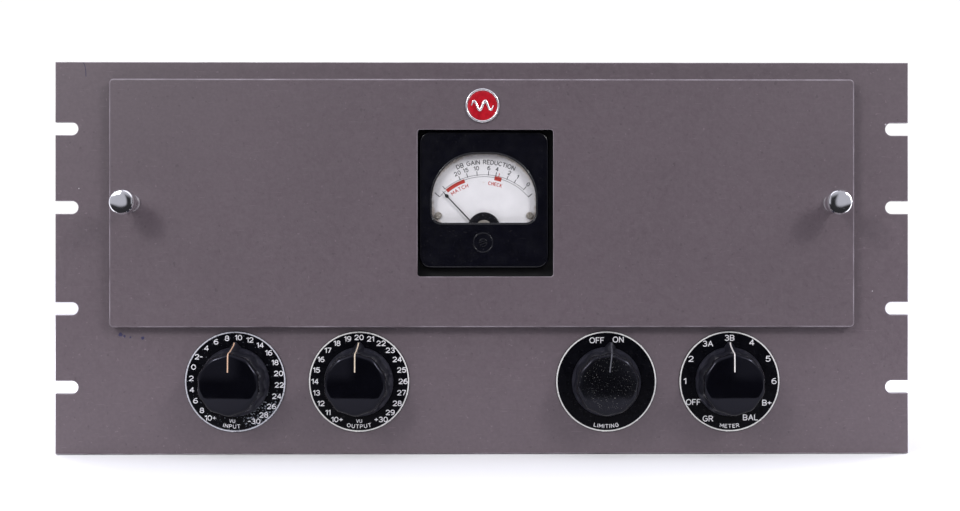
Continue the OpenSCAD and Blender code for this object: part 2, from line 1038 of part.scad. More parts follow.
module filter_capacitors() {
    color([0.75, 0.76, 0.77])
        for (p = capacitor_places)
            rear_axis(p[0], deck - 6, p[1])
                rotate_extrude()
                    polygon([
                        [0, 0], [9, 0], [9, 6], [19.5, 6], [19.5, 10], [17.5, 10],
                        [17.5, 78], [16.2, 80], [0, 80],
                    ]);
}

module tube_sockets() {
    color([0.12, 0.10, 0.09])
        for (p = tube_places)
            rear_axis(p[0], deck, p[1]) {
                difference() {
                    union() {
                        translate([0, 0, -8]) cylinder(r = 14, h = 10.4);
                        cylinder(r = 17, h = 1.6);
                        translate([-5, -21.5, 0]) cube([10, 43, 1.6]);
                        for (i = [0:7])
                            rotate(i * 45 + 22.5)
                                translate([8.5, 0, -13]) cylinder(r = 1, h = 6);
                    }
                    for (side = [-1, 1])
                        translate([0, side * 19.2, -1]) cylinder(r = 1.3, h = 4);
                }
            }
}

module tube_at(p, profile) {
    rear_axis(p[0], socket_face, p[1])
        rotate_extrude() polygon(profile);
}

module amplifier_tubes() {
    color([0.07, 0.07, 0.075])
        for (p = metal_tube_places)
            tube_at(p, [
                [0, 0], [16.3, 0], [16.3, 7], [14.6, 8.5], [12.8, 9], [12.8, 56],
                [11.6, 58.6], [5, 59.6], [5, 61], [0, 61],
            ]);
}

module output_tubes() {
    color([0.07, 0.07, 0.075])
        for (p = output_tube_places)
            tube_at(p, [
                [0, 0], [16.3, 0], [16.3, 7], [15.2, 8.5], [14.2, 9], [14.2, 66],
                [13, 69], [5, 70], [5, 71.5], [0, 71.5],
            ]);
}

module glass_tube(p, base_h, bulb_r, bulb_h) {
    shoulder = bulb_r * 0.55;
    color([0.05, 0.05, 0.05])
        rear_axis(p[0], socket_face, p[1]) cylinder(r = 16.3, h = base_h);
    color([0.7, 0.75, 0.75, 0.35])
        rear_axis(p[0], socket_face + base_h, p[1])
            rotate_extrude()
                difference() {
                    union() {
                        square([13.5, 6]);
                        translate([0, 5]) square([bulb_r, bulb_h - 5 - shoulder]);
                        translate([bulb_r - shoulder, bulb_h - shoulder]) circle(shoulder);
                        translate([0, bulb_h - shoulder - 1]) square([bulb_r - shoulder, shoulder + 1]);
                    }
                    translate([-50, -1]) square([50, 200]);
                }
}

module rectifier_tube() {
    glass_tube(rectifier_place, 20, 15, 58);
}

module regulator_tubes() {
    for (p = regulator_tube_places)
        glass_tube(p, 20, 18.5, 66);
}

module terminal_block(place, ways) {
    pitch = 12.7;
    w = ways * pitch + 10;
    color(bakelite) {
        box_between(
            [place[0] - w / 2, deck, place[1] - 10],
            [place[0] + w / 2, deck + 8, place[1] + 10]
        );
        for (i = [0:ways])
            translate([place[0] + (i - ways / 2) * pitch - 1, deck + 7, place[1] - 10])
                cube([2, 7, 20]);
    }
    color(brass)
        for (i = [0:ways - 1], up = [-1, 1])
            rear_axis(place[0] + (i + 0.5 - ways / 2) * pitch, deck + 8, place[1] + up * 5.2)
                difference() {
                    cylinder(r = 3, h = 2.4);
                    translate([-4, -0.5, 1.4]) cube([8, 1, 2]);
                }
}

module terminal_blocks() {
    terminal_block(audio_terminal_place, 10);
    terminal_block(power_terminal_place, 3);
}

module fuse_holder() {
    color(bakelite)
        rear_axis(fuse_place[0], 0, fuse_place[1]) {
            translate([0, 0, deck - 24]) cylinder(r = 6, h = 30);
            translate([0, 0, deck]) cylinder(r = 9, h = 3);
            translate([0, 0, deck + 3]) cylinder(r = 7.6, h = 12);
        }
}

front_panel();
front_cover();
badge_bezel();
badge_enamel();
thumbscrew_left();
thumbscrew_right();
retaining_ring_left();
retaining_ring_right();
thumbscrew_inserts();
input_dial_plate();
output_dial_plate();
limiting_dial_plate();
selector_dial_plate();
input_knob();
output_knob();
limiting_knob();
selector_knob();
input_shaft();
output_shaft();
limiting_shaft();
selector_shaft();
bushing_nuts();
input_attenuator();
output_attenuator();
limiting_switch();
selector_switch();
meter_case();
meter_window();
meter_scale();
meter_scale_screws();
meter_needle();
meter_hub_cover();
meter_movement();
meter_zero_screw();
meter_bracket();
meter_nuts();
chassis();
side_bracket_left();
side_bracket_right();
bracket_screws();
chassis_nuts();
component_boards();
board_components();
balance_controls();
balance_shaft_left();
balance_shaft_right();
wiring_harness();
power_transformer();
filter_choke();
output_transformer();
interstage_transformer();
input_transformer();
filter_capacitors();
tube_sockets();
amplifier_tubes();
output_tubes();
rectifier_tube();
regulator_tubes();
terminal_blocks();
fuse_holder();
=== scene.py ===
"""Looks of the rack-mounted valve limiting amplifier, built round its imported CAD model.

Shapes are drawn in millimetres in the row frame: +X right, +Y to the rear, +Z up.
"""
import math
import random

import bmesh
import bpy
from mathutils import Matrix, Vector
from mathutils.geometry import tessellate_polygon


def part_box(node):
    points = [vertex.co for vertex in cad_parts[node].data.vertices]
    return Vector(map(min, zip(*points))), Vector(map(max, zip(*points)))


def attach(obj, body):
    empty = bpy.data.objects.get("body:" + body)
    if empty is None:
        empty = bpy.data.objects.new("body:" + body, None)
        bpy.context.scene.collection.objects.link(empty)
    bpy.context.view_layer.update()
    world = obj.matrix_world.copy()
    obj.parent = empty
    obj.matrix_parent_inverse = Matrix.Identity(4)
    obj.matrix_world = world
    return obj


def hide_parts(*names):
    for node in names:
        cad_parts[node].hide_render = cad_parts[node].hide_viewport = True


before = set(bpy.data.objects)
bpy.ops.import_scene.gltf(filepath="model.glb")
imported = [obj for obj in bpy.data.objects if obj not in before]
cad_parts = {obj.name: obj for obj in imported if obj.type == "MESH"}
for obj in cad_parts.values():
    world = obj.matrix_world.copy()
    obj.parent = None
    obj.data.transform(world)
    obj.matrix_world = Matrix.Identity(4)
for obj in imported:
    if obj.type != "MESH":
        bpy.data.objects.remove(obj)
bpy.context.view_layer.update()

MM = 0.001
HERE = Matrix.Identity(4)
CORNERS = [(sx, sy) for sx in (-1, 1) for sy in (-1, 1)]


def box(node):
    """Lowest and highest corner of a CAD node in millimetres."""
    low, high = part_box(node)
    return low / MM, high / MM


def centre(node):
    low, high = box(node)
    return (low + high) / 2


# ---- Places ----

def front(x, y, z, turn=0.0):
    """Local +Z points to the front; turn is in degrees, clockwise seen from the front."""
    spin = Matrix.Rotation(-math.radians(turn), 4, "Z")
    return Matrix.Translation((x, y, z)) @ Matrix.Rotation(math.pi / 2, 4, "X") @ spin


def rear(x, y, z, turn=0.0):
    """Local +Z points to the rear and local +X to the right seen from the front."""
    spin = Matrix.Rotation(math.radians(turn), 4, "Z")
    return Matrix.Translation((x, y, z)) @ Matrix.Rotation(-math.pi / 2, 4, "X") @ spin


def at(x, y, z=0.0, turn=0.0):
    return Matrix.Translation((x, y, z)) @ Matrix.Rotation(math.radians(turn), 4, "Z")


# ---- Flat outlines, as lists of (x, y) points, anticlockwise ----

def arc(x, y, rx, ry, start, end, step=15.0):
    """Points along an elliptical arc, from start to end degrees."""
    count = max(2, math.ceil(abs(end - start) / step))
    angles = [math.radians(start + (end - start) * i / count) for i in range(count + 1)]
    return [(x + rx * math.cos(a), y + ry * math.sin(a)) for a in angles]


def circle(radius, count=64):
    turns = [math.tau * i / count for i in range(count)]
    return [(radius * math.cos(a), radius * math.sin(a)) for a in turns]


def rounded_rect(w, h, r, step=11.25):
    corners = [(1, 1, 0), (-1, 1, 90), (-1, -1, 180), (1, -1, 270)]
    points = []
    for sx, sy, start in corners:
        points += arc(sx * (w / 2 - r), sy * (h / 2 - r), r, r, start, start + 90, step)
    return points


def polygon(sides, across):
    """A regular outline with the given distance across its flats."""
    return circle(across / 2 / math.cos(math.pi / sides), sides)


def moved(loop, x, y):
    return [(px + x, py + y) for px, py in loop]


def inset(loop, amount):
    """The outline moved inwards by amount, with mitred corners."""
    points = [Vector(p) for p in loop]
    result = []
    for i, p in enumerate(points):
        before = (p - points[i - 1]).normalized()
        after = (points[(i + 1) % len(points)] - p).normalized()
        n1 = Vector((-before.y, before.x))
        n2 = Vector((-after.y, after.x))
        result.append(p + amount * (n1 + n2) / max(0.3, 1 + n1.dot(n2)))
    return result


def filleted(path, steps=5):
    """A polyline of (x, y) or (x, y, fillet) points, with each filleted corner rounded."""
    result = []
    for i, item in enumerate(path):
        p = Vector(item[:2])
        if len(item) == 2 or i in (0, len(path) - 1):
            result.append(p)
            continue
        back = Vector(path[i - 1][:2]) - p
        ahead = Vector(path[i + 1][:2]) - p
        reach = min(item[2], 0.48 * back.length, 0.48 * ahead.length)
        a = p + back.normalized() * reach
        b = p + ahead.normalized() * reach
        for k in range(steps + 1):
            t = k / steps
            result.append(a * (1 - t) ** 2 + p * 2 * t * (1 - t) + b * t * t)
    return result


# ---- Closed shells ----

class Shell:
    """Vertices, faces and a wear value for each vertex; wear is 1 on edges that rub bare, and on the paint
    these edges also carry a painted highlight.
    """

    def __init__(self):
        self.verts = []
        self.faces = []
        self.worn = []

    def ring(self, points, height=None, edge_wear_and_highlight=0.0):
        start = len(self.verts)
        for p in points:
            self.verts.append(Vector((p[0], p[1], p[2] if height is None else height)))
            self.worn.append(edge_wear_and_highlight)
        return list(range(start, len(self.verts)))

    def bridge(self, a, b):
        count = max(len(a), len(b))
        for i in range(count):
            j = (i + 1) % count
            corners = [a[i % len(a)], a[j % len(a)], b[j % len(b)], b[i % len(b)]]
            face = [c for k, c in enumerate(corners) if c not in corners[:k]]
            self.faces.append(face)

    def chain(self, rings):
        for a, b in zip(rings, rings[1:]):
            self.bridge(a, b)

    def cap(self, rings):
        """Fills the space inside the first ring and outside the others."""
        flat = [i for ring in rings for i in ring]
        for face in tessellate_polygon([[self.verts[i] for i in ring] for ring in rings]):
            self.faces.append([flat[i] for i in face])


def edge_rows(low, high, front_r, back_r=0.0, steps=3):
    """(inset, height, edge wear and highlight) up the side of a plate with rounded edges."""
    rows = []
    for i in range(steps + 1 if back_r else 1):
        a = math.pi / 2 * i / steps if back_r else math.pi / 2
        rows.append((back_r * (1 - math.sin(a)), low + back_r * (1 - math.cos(a)), 0.0))
    for i in range(steps + 1 if front_r else 1):
        a = math.pi / 2 * i / steps
        edge_wear_and_highlight = 1.0 if 0 < i < steps else 0.0
        rows.append((front_r * (1 - math.cos(a)), high - front_r * (1 - math.sin(a)), edge_wear_and_highlight))
    return rows


def slab(outer, holes=(), low=0.0, high=1.0, edge=0.3, hole_edge=0.2, back=0.0, steps=3):
    """A plate between two heights, with rounded front edges round its outline and its holes."""
    shell = Shell()
    tops, bottoms = [], []
    for loop, side, r, b in [(outer, 1, edge, back)] + [(h, -1, hole_edge, 0.0) for h in holes]:
        rows = edge_rows(low, high, r, b, steps)
        rings = [shell.ring(inset(loop, side * o), h, w) for o, h, w in rows]
        shell.chain(rings)
        bottoms.append(rings[0])
        tops.append(rings[-1])
    shell.cap(tops)
    shell.cap(bottoms)
    return shell


def tray(outer, holes, depth, sheet, edge, hole_edge):
    """A shallow pressed lid of even thickness, open at the back."""
    shell = Shell()
    rings = [shell.ring(inset(outer, o), h, w) for o, h, w in edge_rows(0, depth, edge, steps=4)]
    inner = inset(outer, sheet)
    inside = [shell.ring(inner, h) for h in (0, depth - sheet)]
    shell.chain(rings)
    shell.chain(inside)
    shell.bridge(rings[0], inside[0])
    tops, bottoms = [rings[-1]], [inside[-1]]
    for hole in holes:
        rows = edge_rows(depth - sheet, depth, hole_edge)
        walls = [shell.ring(inset(hole, -o), h, w) for o, h, w in rows]
        shell.chain(walls)
        bottoms.append(walls[0])
        tops.append(walls[-1])
    shell.cap(tops)
    shell.cap(bottoms)
    return shell


def loft(rings, closed=False, edge_wear_and_highlight=None):
    """Skin over rings of 3-D points; a ring of one point closes an end."""
    shell = Shell()
    numbered = [shell.ring(r, edge_wear_and_highlight=edge_wear_and_highlight[i] if edge_wear_and_highlight else 0.0) for i, r in enumerate(rings)]
    shell.chain(numbered)
    if closed:
        shell.bridge(numbered[-1], numbered[0])
        return shell
    for ring in (numbered[0], numbered[-1]):
        if len(ring) > 2:
            shell.cap([ring])
    return shell


def lathe(path, segments=72, closed=False, ripple=None):
    """A turned part: path is (radius, height) points, with an optional fillet each."""
    rings = []
    for r, h in filleted(path):
        if r < 1e-6:
            rings.append([Vector((0, 0, h))])
            continue
        angles = [math.tau * i / segments for i in range(segments)]
        reach = [r + (ripple(a, r, h) if ripple else 0) for a in angles]
        rings.append([Vector((d * math.cos(a), d * math.sin(a), h)) for d, a in zip(reach, angles)])
    return loft(rings, closed)


def tube(points, radius, sides=10, closed=False):
    """A round wire along 3-D points."""
    path = [Vector(p) for p in points]
    rings = []
    normal = None
    for i, p in enumerate(path):
        ahead = path[(i + 1) % len(path)] if closed or i < len(path) - 1 else p
        behind = path[i - 1] if closed or i > 0 else p
        tangent = (ahead - behind).normalized()
        if normal is None:
            normal = tangent.orthogonal().normalized()
        normal = (normal - tangent * normal.dot(tangent)).normalized()
        side = tangent.cross(normal)
        r = radius(i / (len(path) - 1)) if callable(radius) else radius
        turns = [math.tau * k / sides for k in range(sides)]
        rings.append([p + r * (normal * math.cos(a) + side * math.sin(a)) for a in turns])
    return loft(rings, closed)


def stroke(points, width, low, high):
    """A painted line on a flat face, with rounded ends, or a closed loop of line."""
    closed = (Vector(points[0]) - Vector(points[-1])).length < 1e-6
    path = [Vector(p) for p in (points[:-1] if closed else points)]
    sections = []
    for i, p in enumerate(path):
        ahead = path[(i + 1) % len(path)] if closed or i < len(path) - 1 else p
        behind = path[i - 1] if closed or i > 0 else p
        t1 = (p - behind).normalized() if (p - behind).length else (ahead - p).normalized()
        t2 = (ahead - p).normalized() if (ahead - p).length else t1
        n = Vector((-t1.y - t2.y, t1.x + t2.x))
        n = n / max(0.6, n.length_squared / 2)
        sections.append((p, n * width / 2))
    if not closed:
        first, last = sections[0], sections[-1]
        out = (path[0] - path[1]).normalized() * width * 0.4
        sections.insert(0, (first[0] + out, first[1] * 0.5))
        out = (path[-1] - path[-2]).normalized() * width * 0.4
        sections.append((last[0] + out, last[1] * 0.5))
    rings = []
    for p, n in sections:
        corners = [(p - n, low), (p + n, low), (p + n, high), (p - n, high)]
        rings.append([Vector((c.x, c.y, h)) for c, h in corners])
    return loft(rings, closed)


def sector(inner, outer, start, end):
    """A printed band between two radii; angles are clockwise from straight up."""
    count = max(2, round(abs(end - start) / 2))
    angles = [start + (end - start) * i / count for i in range(count + 1)]
    points = [clock(a, outer) for a in angles] + [clock(a, inner) for a in reversed(angles)]
    points.reverse()
    return slab(points, (), INK_LOW, INK_T, 0, 0)


def block(size, edge=0.4, low=0.0):
    """A box with rounded edges, standing on the plane low."""
    w, h, d = size
    return slab(rounded_rect(w, h, max(edge, 0.05), 30), (), low, low + d, edge, 0, edge, 2)


def pin(radius, low, high, segments=24):
    """A plain cylinder between two heights."""
    return lathe([(0, low), (radius, low), (radius, high), (0, high)], segments)


def rivet(radius):
    """A fastening with a rounded head."""
    return lathe([(0, 0), (radius, 0), (radius, 2.6, 0.8), (1.2, 3.4, 0.4), (0, 3.4)], 32)


def slotted_head(radius, height, slot):
    """A cheese-head screw: a disc, and on it two halves either side of the slot."""
    shells = [pin(radius, 0, height * 0.5, 40)]
    start = math.degrees(math.asin(slot / 2 / radius))
    for side in (0, 180):
        half = arc(0, 0, radius, radius, start + side, 180 - start + side, 10)
        shells.append(slab(half, (), height * 0.45, height, min(0.35, height * 0.3)))
    return shells


class Piece:
    """Collects shells and turns them into one object of the row."""

    def __init__(self, name, origin=HERE):
        self.name = name
        self.origin = origin
        self.verts, self.faces, self.worn = [], [], []
        self.face_materials, self.materials = [], []

    def add(self, shells, material, place=HERE):
        if material not in self.materials:
            self.materials.append(material)
        for shell in shells if isinstance(shells, list) else [shells]:
            start = len(self.verts)
            self.verts += [place @ v for v in shell.verts]
            self.worn += shell.worn
            self.faces += [[start + i for i in face] for face in shell.faces]
            self.face_materials += [self.materials.index(material)] * len(shell.faces)
        return self

    def done(self, body, slot=None, replaces=(), sharp=38.0, weighted=True):
        mesh = bpy.data.meshes.new(self.name)
        mesh.from_pydata([v * MM for v in self.verts], [], self.faces)
        for material in self.materials:
            mesh.materials.append(material)
        mesh.polygons.foreach_set("material_index", self.face_materials)
        worn = mesh.attributes.new("worn", "FLOAT", "POINT")
        worn.data.foreach_set("value", self.worn)
        work = bmesh.new()
        work.from_mesh(mesh)
        bmesh.ops.recalc_face_normals(work, faces=work.faces)
        work.to_mesh(mesh)
        work.free()
        placed = Matrix.LocRotScale(self.origin.to_translation() * MM, self.origin.to_quaternion(), None)
        return settle(mesh, self.name, placed, body, replaces, sharp, weighted)


def settle(mesh, name, placed, body, replaces, sharp, weighted):
    """Links a finished mesh as a piece that rides on a body."""
    mesh.polygons.foreach_set("use_smooth", [True] * len(mesh.polygons))
    mesh.set_sharp_from_angle(angle=math.radians(sharp))
    piece = bpy.data.objects.new(name, mesh)
    bpy.context.scene.collection.objects.link(piece)
    piece.matrix_world = placed
    if weighted:
        modifier = piece.modifiers.new("normals", "WEIGHTED_NORMAL")
        modifier.keep_sharp = True
    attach(piece, body)
    if replaces:
        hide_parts(*replaces)
    return piece


def refined(node, material, bevel=0.3, body="frame", choose=None):
    """A cleaned copy of a CAD node with its hard edges broken, in place of the node."""
    work = bmesh.new()
    work.from_mesh(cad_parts[node].data)
    bmesh.ops.remove_doubles(work, verts=work.verts, dist=1e-6)
    bmesh.ops.dissolve_limit(
        work, angle_limit=math.radians(1), verts=work.verts, edges=work.edges
    )
    bmesh.ops.recalc_face_normals(work, faces=work.faces)
    hard = [e for e in work.edges if e.is_manifold and e.calc_face_angle() > math.radians(30)]
    bmesh.ops.bevel(
        work, geom=hard, offset=bevel * MM, segments=2, profile=0.5,
        affect="EDGES", clamp_overlap=True,
    )
    mesh = bpy.data.meshes.new(node + "_refined")
    work.to_mesh(mesh)
    work.free()
    materials = material if isinstance(material, list) else [material]
    for each in materials:
        mesh.materials.append(each)
    for face in mesh.polygons:
        face.material_index = choose(face.center / MM) if choose else 0
    return settle(mesh, node + "_detailed", HERE, body, [node], 38.0, True)


# ---- Materials ----

class Finish:
    """A Principled material; sizes are in millimetres on the real surface."""

    def __init__(self, name, color, roughness=0.5, metallic=0.0, **sockets):
        self.material = bpy.data.materials.new(name)
        self.material.use_nodes = True
        self.nodes = self.material.node_tree.nodes
        self.links = self.material.node_tree.links
        self.shader = self.nodes["Principled BSDF"]
        self.color = (*color, 1.0)
        self.shader.inputs["Base Color"].default_value = self.color
        self.shader.inputs["Roughness"].default_value = roughness
        self.shader.inputs["Metallic"].default_value = metallic
        for socket, value in sockets.items():
            self.shader.inputs[socket.replace("_", " ")].default_value = value
        self.coords = self.nodes.new("ShaderNodeTexCoord").outputs["Object"]
        self.normal = None

    def node(self, kind, inputs=(), **settings):
        made = self.nodes.new("ShaderNode" + kind)
        for key, value in settings.items():
            setattr(made, key, value)
        for key, value in dict(inputs).items():
            self.plug(made.inputs[key], value)
        return made

    def plug(self, socket, value):
        if isinstance(value, bpy.types.NodeSocket):
            self.links.new(value, socket)
        else:
            socket.default_value = value

    def noise(self, size, detail=2.0, stretch=(1, 1, 1), shift=0.0, rough=0.5):
        scale = [s / (size * MM) for s in stretch]
        mapping = self.node("Mapping", {"Vector": self.coords, "Scale": scale, "Location": (shift,) * 3})
        texture = self.node(
            "TexNoise",
            {"Vector": mapping.outputs[0], "Scale": 1.0, "Detail": detail, "Roughness": rough},
        )
        return texture.outputs[0]

    def wave(self, size, direction, distort=0.0):
        mapping = self.node("Mapping", {"Vector": self.coords, "Scale": (1 / (size * MM),) * 3})
        texture = self.node(
            "TexWave", {"Vector": mapping.outputs[0], "Scale": 0.314, "Distortion": distort},
            wave_type="BANDS", bands_direction=direction,
        )
        return texture.outputs["Fac"]

    def range(self, value, low, high, to_low=0.0, to_high=1.0):
        made = self.node(
            "MapRange",
            {"Value": value, "From Min": low, "From Max": high, "To Min": to_low, "To Max": to_high},
        )
        return made.outputs[0]

    def math(self, operation, a, b=0.0):
        return self.node("Math", {0: a, 1: b}, operation=operation).outputs[0]

    def mix(self, factor, a, b):
        made = self.node("Mix", {0: factor, 6: self.rgba(a), 7: self.rgba(b)}, data_type="RGBA")
        return made.outputs[2]

    def rgba(self, color):
        if isinstance(color, bpy.types.NodeSocket) or len(color) == 4:
            return color
        return (*color, 1.0)

    def worn(self):
        return self.node("Attribute", attribute_name="worn").outputs["Fac"]

    def apart(self, x, y, z, keep):
        """Distance in metres from a point, along the kept axes only."""
        point = (x * MM, y * MM, z * MM)
        offset = self.node("VectorMath", {0: self.coords, 1: point}, operation="SUBTRACT")
        flat = self.node("VectorMath", {0: offset.outputs[0], 1: keep}, operation="MULTIPLY")
        return self.node("VectorMath", {0: flat.outputs[0]}, operation="LENGTH").outputs["Value"]

    def spot(self, x, z, radius):
        """1 within radius of a point of the front, with a ragged rim."""
        away = self.apart(x, 0, z, (1, 0, 1))
        ragged = self.math("ADD", away, self.math("MULTIPLY", self.noise(1.2), radius * MM))
        return self.range(ragged, radius * 1.5 * MM, radius * 1.2 * MM)

    def tone(self, size, low=0.9, high=1.1, **noise):
        """Varies the colour so far by a soft noise."""
        level = self.range(self.noise(size, **noise), 0.3, 0.7, low, high)
        shade = self.node("CombineColor", {0: level, 1: level, 2: level}).outputs[0]
        inputs = {0: 1.0, 6: self.color, 7: shade}
        mixed = self.node("Mix", inputs, data_type="RGBA", blend_type="MULTIPLY")
        self.color = mixed.outputs[2]
        return self

    def over(self, factor, color):
        self.color = self.mix(factor, self.color, color)
        return self

    def bump(self, height, depth, strength=1.0):
        """Adds relief of depth millimetres."""
        inputs = {"Height": height, "Distance": depth * MM, "Strength": strength}
        if self.normal is not None:
            inputs["Normal"] = self.normal
        self.normal = self.node("Bump", inputs).outputs[0]
        return self

    def rough(self, value, low, high):
        """Roughness from low to high as a noise rises."""
        self.plug(self.shader.inputs["Roughness"], self.range(value, 0.3, 0.7, low, high))
        return self

    def end(self):
        self.plug(self.shader.inputs["Base Color"], self.color)
        if self.normal is not None:
            self.plug(self.shader.inputs["Normal"], self.normal)
        return self.material


# Marks on the panel's face: (x, z, radius)
PEN_SPOTS = [(-204.5, 67.5, 1.3), (-202.3, 66.6, 0.8), (-192, 65.5, 1.1), (-199, 66, 0.6)]
BARE_SPOTS = [(228.5, 186.5, 0.5), (-228, 150, 0.35), (221, 92, 0.4)]
DUST_COLOR = (0.22, 0.21, 0.2)


def enamel_paint(name, color, edge_wear_and_highlight=0.7, marks=False):
    """Grey-mauve stoved paint with a fine orange peel, dust, and paler edges that are partly rubbed paint
    and partly a painted highlight.
    """
    f = Finish(name, color, 0.42)
    f.tone(70, 0.96, 1.04, detail=3).tone(1.8, 0.93, 1.07, detail=3)
    specks = f.range(f.noise(1.9, 1.0, shift=7), 0.73, 0.78)
    f.over(f.math("MULTIPLY", specks, 0.35), [c * 2.1 for c in color])
    grime = f.range(f.noise(2.6, 1.0, shift=21), 0.72, 0.77)
    f.over(f.math("MULTIPLY", grime, 0.4), [c * 0.45 for c in color])
    scratch = f.range(f.noise(9, 1.0, stretch=(1, 1, 14), shift=4), 0.735, 0.75)
    f.over(f.math("MULTIPLY", scratch, 0.3), [c * 1.8 for c in color])
    # Pale rounded edges: partly rubbed paint, partly a painted highlight along the edges
    rubbed_and_highlit = f.math("MULTIPLY", f.worn(), f.range(f.noise(14, 3.0), 0.25, 0.75))
    f.over(f.math("MULTIPLY", rubbed_and_highlit, edge_wear_and_highlight), (0.5, 0.45, 0.51))
    if marks:
        for spot in PEN_SPOTS:
            f.over(f.math("MULTIPLY", f.spot(*spot), 0.85), (0.012, 0.012, 0.07))
        for spot in BARE_SPOTS:
            f.over(f.spot(*spot), (0.45, 0.42, 0.45))
    f.bump(f.noise(1.3, 1.0), 0.03, 0.5)
    return f.rough(f.noise(3, 2.0), 0.36, 0.5).end()


def plated(name, color, low, high, grain=None, tone=0.06, relief=0.004, metallic=1.0):
    """Bare or plated metal; grain is the brushing's stretch along each axis."""
    f = Finish(name, color, low, metallic)
    f.tone(14, 1 - tone, 1 + tone, detail=3)
    fine = f.noise(0.6, 2.0, stretch=grain or (1, 1, 1))
    f.bump(fine, relief)
    return f.rough(f.noise(5, 3.0, stretch=grain or (1, 1, 1)), low, high).end()


def moulded(name, color, low, high, dust=0.1, relief=0.004, shine=0.5):
    """Moulded or lacquered black with smudges and a little dust."""
    f = Finish(name, color, low, Specular_IOR_Level=shine)
    f.tone(9, 0.85, 1.2, detail=3)
    specks = f.range(f.noise(0.9, 1.0, shift=3), 0.7, 0.78)
    f.over(f.math("MULTIPLY", specks, dust), DUST_COLOR)
    f.bump(f.noise(2.2, 2.0), relief)
    return f.rough(f.noise(6, 3.0), low, high).end()


# Painted reflection: a grey sheen laid on the knobs' fluted sides in place of the panel's reflection
SIDE_SHEEN = (0.011, 0.011, 0.016)
SIDE_TOP = 21.3


def knob_moulding(name, color, dust, grain, cap, side):
    """Moulded knob: a polished cap over a duller fluted side, lightened by a painted grey sheen; cap and
    side are roughnesses.
    """
    f = Finish(name, color, cap, Specular_IOR_Level=0.22, Specular_Tint=(0.8, 0.8, 1.0, 1))
    f.tone(9, 0.85, 1.2, detail=3)
    specks = f.range(f.noise(grain, 1.0, shift=3), 0.7, 0.76)
    f.over(f.math("MULTIPLY", specks, dust), DUST_COLOR)
    f.bump(f.noise(2.2, 2.0), 0.0005)
    height = f.node("SeparateXYZ", {0: f.coords}).outputs[2]
    smudge = f.range(f.noise(6, 3.0), 0.3, 0.7, cap, cap * 2)
    # Painted sheen: the side below the cap's rim is lightened to a grey reflection colour
    f.over(f.range(height, (SIDE_TOP + 0.3) * MM, (SIDE_TOP - 0.9) * MM), SIDE_SHEEN)
    shine = f.range(height, (SIDE_TOP + 0.6) * MM, (SIDE_TOP - 0.1) * MM, 0.2, 0.6)
    f.plug(f.shader.inputs["Specular IOR Level"], shine)
    low = f.range(height, (SIDE_TOP + 0.5) * MM, (SIDE_TOP - 2.3) * MM, 0.0, side)
    f.plug(f.shader.inputs["Roughness"], f.math("ADD", smudge, low))
    return f.end()


def dial_lacquer(name, chipped):
    """Black lacquered dial; a chipped one shows bare metal towards its lower right."""
    f = Finish(name, (0.0012, 0.0012, 0.0024), 0.3, Specular_IOR_Level=0.07)
    f.tone(4, 0.8, 1.3, detail=3)
    scuffs = f.range(f.noise(1.6, 3.0, stretch=(1, 3, 1)), 0.66, 0.74)
    f.over(f.math("MULTIPLY", scuffs, 0.12), (0.2, 0.19, 0.2))
    rim = f.math("MULTIPLY", f.worn(), f.range(f.noise(2, 2.0), 0.6, 0.66))
    f.over(rim, (0.35, 0.34, 0.33))
    if chipped:
        near = f.range(f.apart(16, -21, 0, (1, 1, 0)), 19 * MM, 6 * MM)
        speckle = f.math("ADD", f.noise(1.1, 2.0, shift=2), f.math("MULTIPLY", near, 0.13))
        f.over(f.math("MULTIPLY", f.range(speckle, 0.68, 0.74), 0.7), (0.3, 0.32, 0.37))
    f.bump(f.noise(0.9, 1.0), 0.004)
    return f.rough(f.noise(4, 2.0), 0.24, 0.34).end()


def card():
    """Printed scale card, warm white, darker towards its rim, browned at its edge and foxed."""
    f = Finish("scale_card_paper", (0.8, 0.785, 0.8), 0.55)
    f.tone(9, 0.95, 1.04, detail=3)
    away = f.apart(0, 0.3, 0, (0.87, 1, 0))
    ragged = f.math("ADD", away, f.math("MULTIPLY", f.noise(2.4, 3.0), 3 * MM))
    # Darker towards the rim
    f.over(f.math("MULTIPLY", f.range(ragged, 24.5 * MM, 28 * MM), 0.12), (0.6, 0.52, 0.48))
    f.over(f.math("MULTIPLY", f.range(ragged, 26.5 * MM, 27.5 * MM), 0.6), (0.3, 0.21, 0.14))
    spots = f.range(f.noise(2.2, 2.0, shift=5), 0.7, 0.76)
    f.over(f.math("MULTIPLY", spots, 0.25), (0.5, 0.38, 0.25))
    return f.bump(f.noise(0.7, 1.0), 0.004).end()


def laminated(name, color, direction):
    """Stacked core sheets with a little rust."""
    f = Finish(name, color, 0.45, 0.35)
    f.tone(5, 0.8, 1.2, detail=3)
    f.over(f.math("MULTIPLY", f.range(f.noise(3, 3.0), 0.6, 0.7), 0.4), (0.16, 0.07, 0.03))
    return f.bump(f.wave(0.5, direction), 0.03, 0.6).end()


def fibre(name, color):
    """Phenolic board with a fine woven grain."""
    f = Finish(name, color, 0.4)
    f.tone(12, 0.85, 1.15, detail=3).tone(0.8, 0.9, 1.1, stretch=(1, 1, 4))
    return f.bump(f.wave(0.7, "X", 1.5), 0.006, 0.5).end()


def lacing(name, color):
    """Cloth-covered wire."""
    f = Finish(name, color, 0.75)
    f.tone(6, 0.8, 1.2)
    f.bump(f.wave(0.6, "DIAGONAL", 0.6), 0.05, 0.6)
    return f.end()


def glass(name, color, alpha, roughness=0.03):
    """Thin glass with faint smears."""
    f = Finish(name, color, roughness, IOR=1.5, Alpha=alpha)
    smear = f.noise(12, 3.0)
    f.bump(smear, 0.01, 0.2)
    return f.rough(smear, roughness, roughness + 0.05).end()


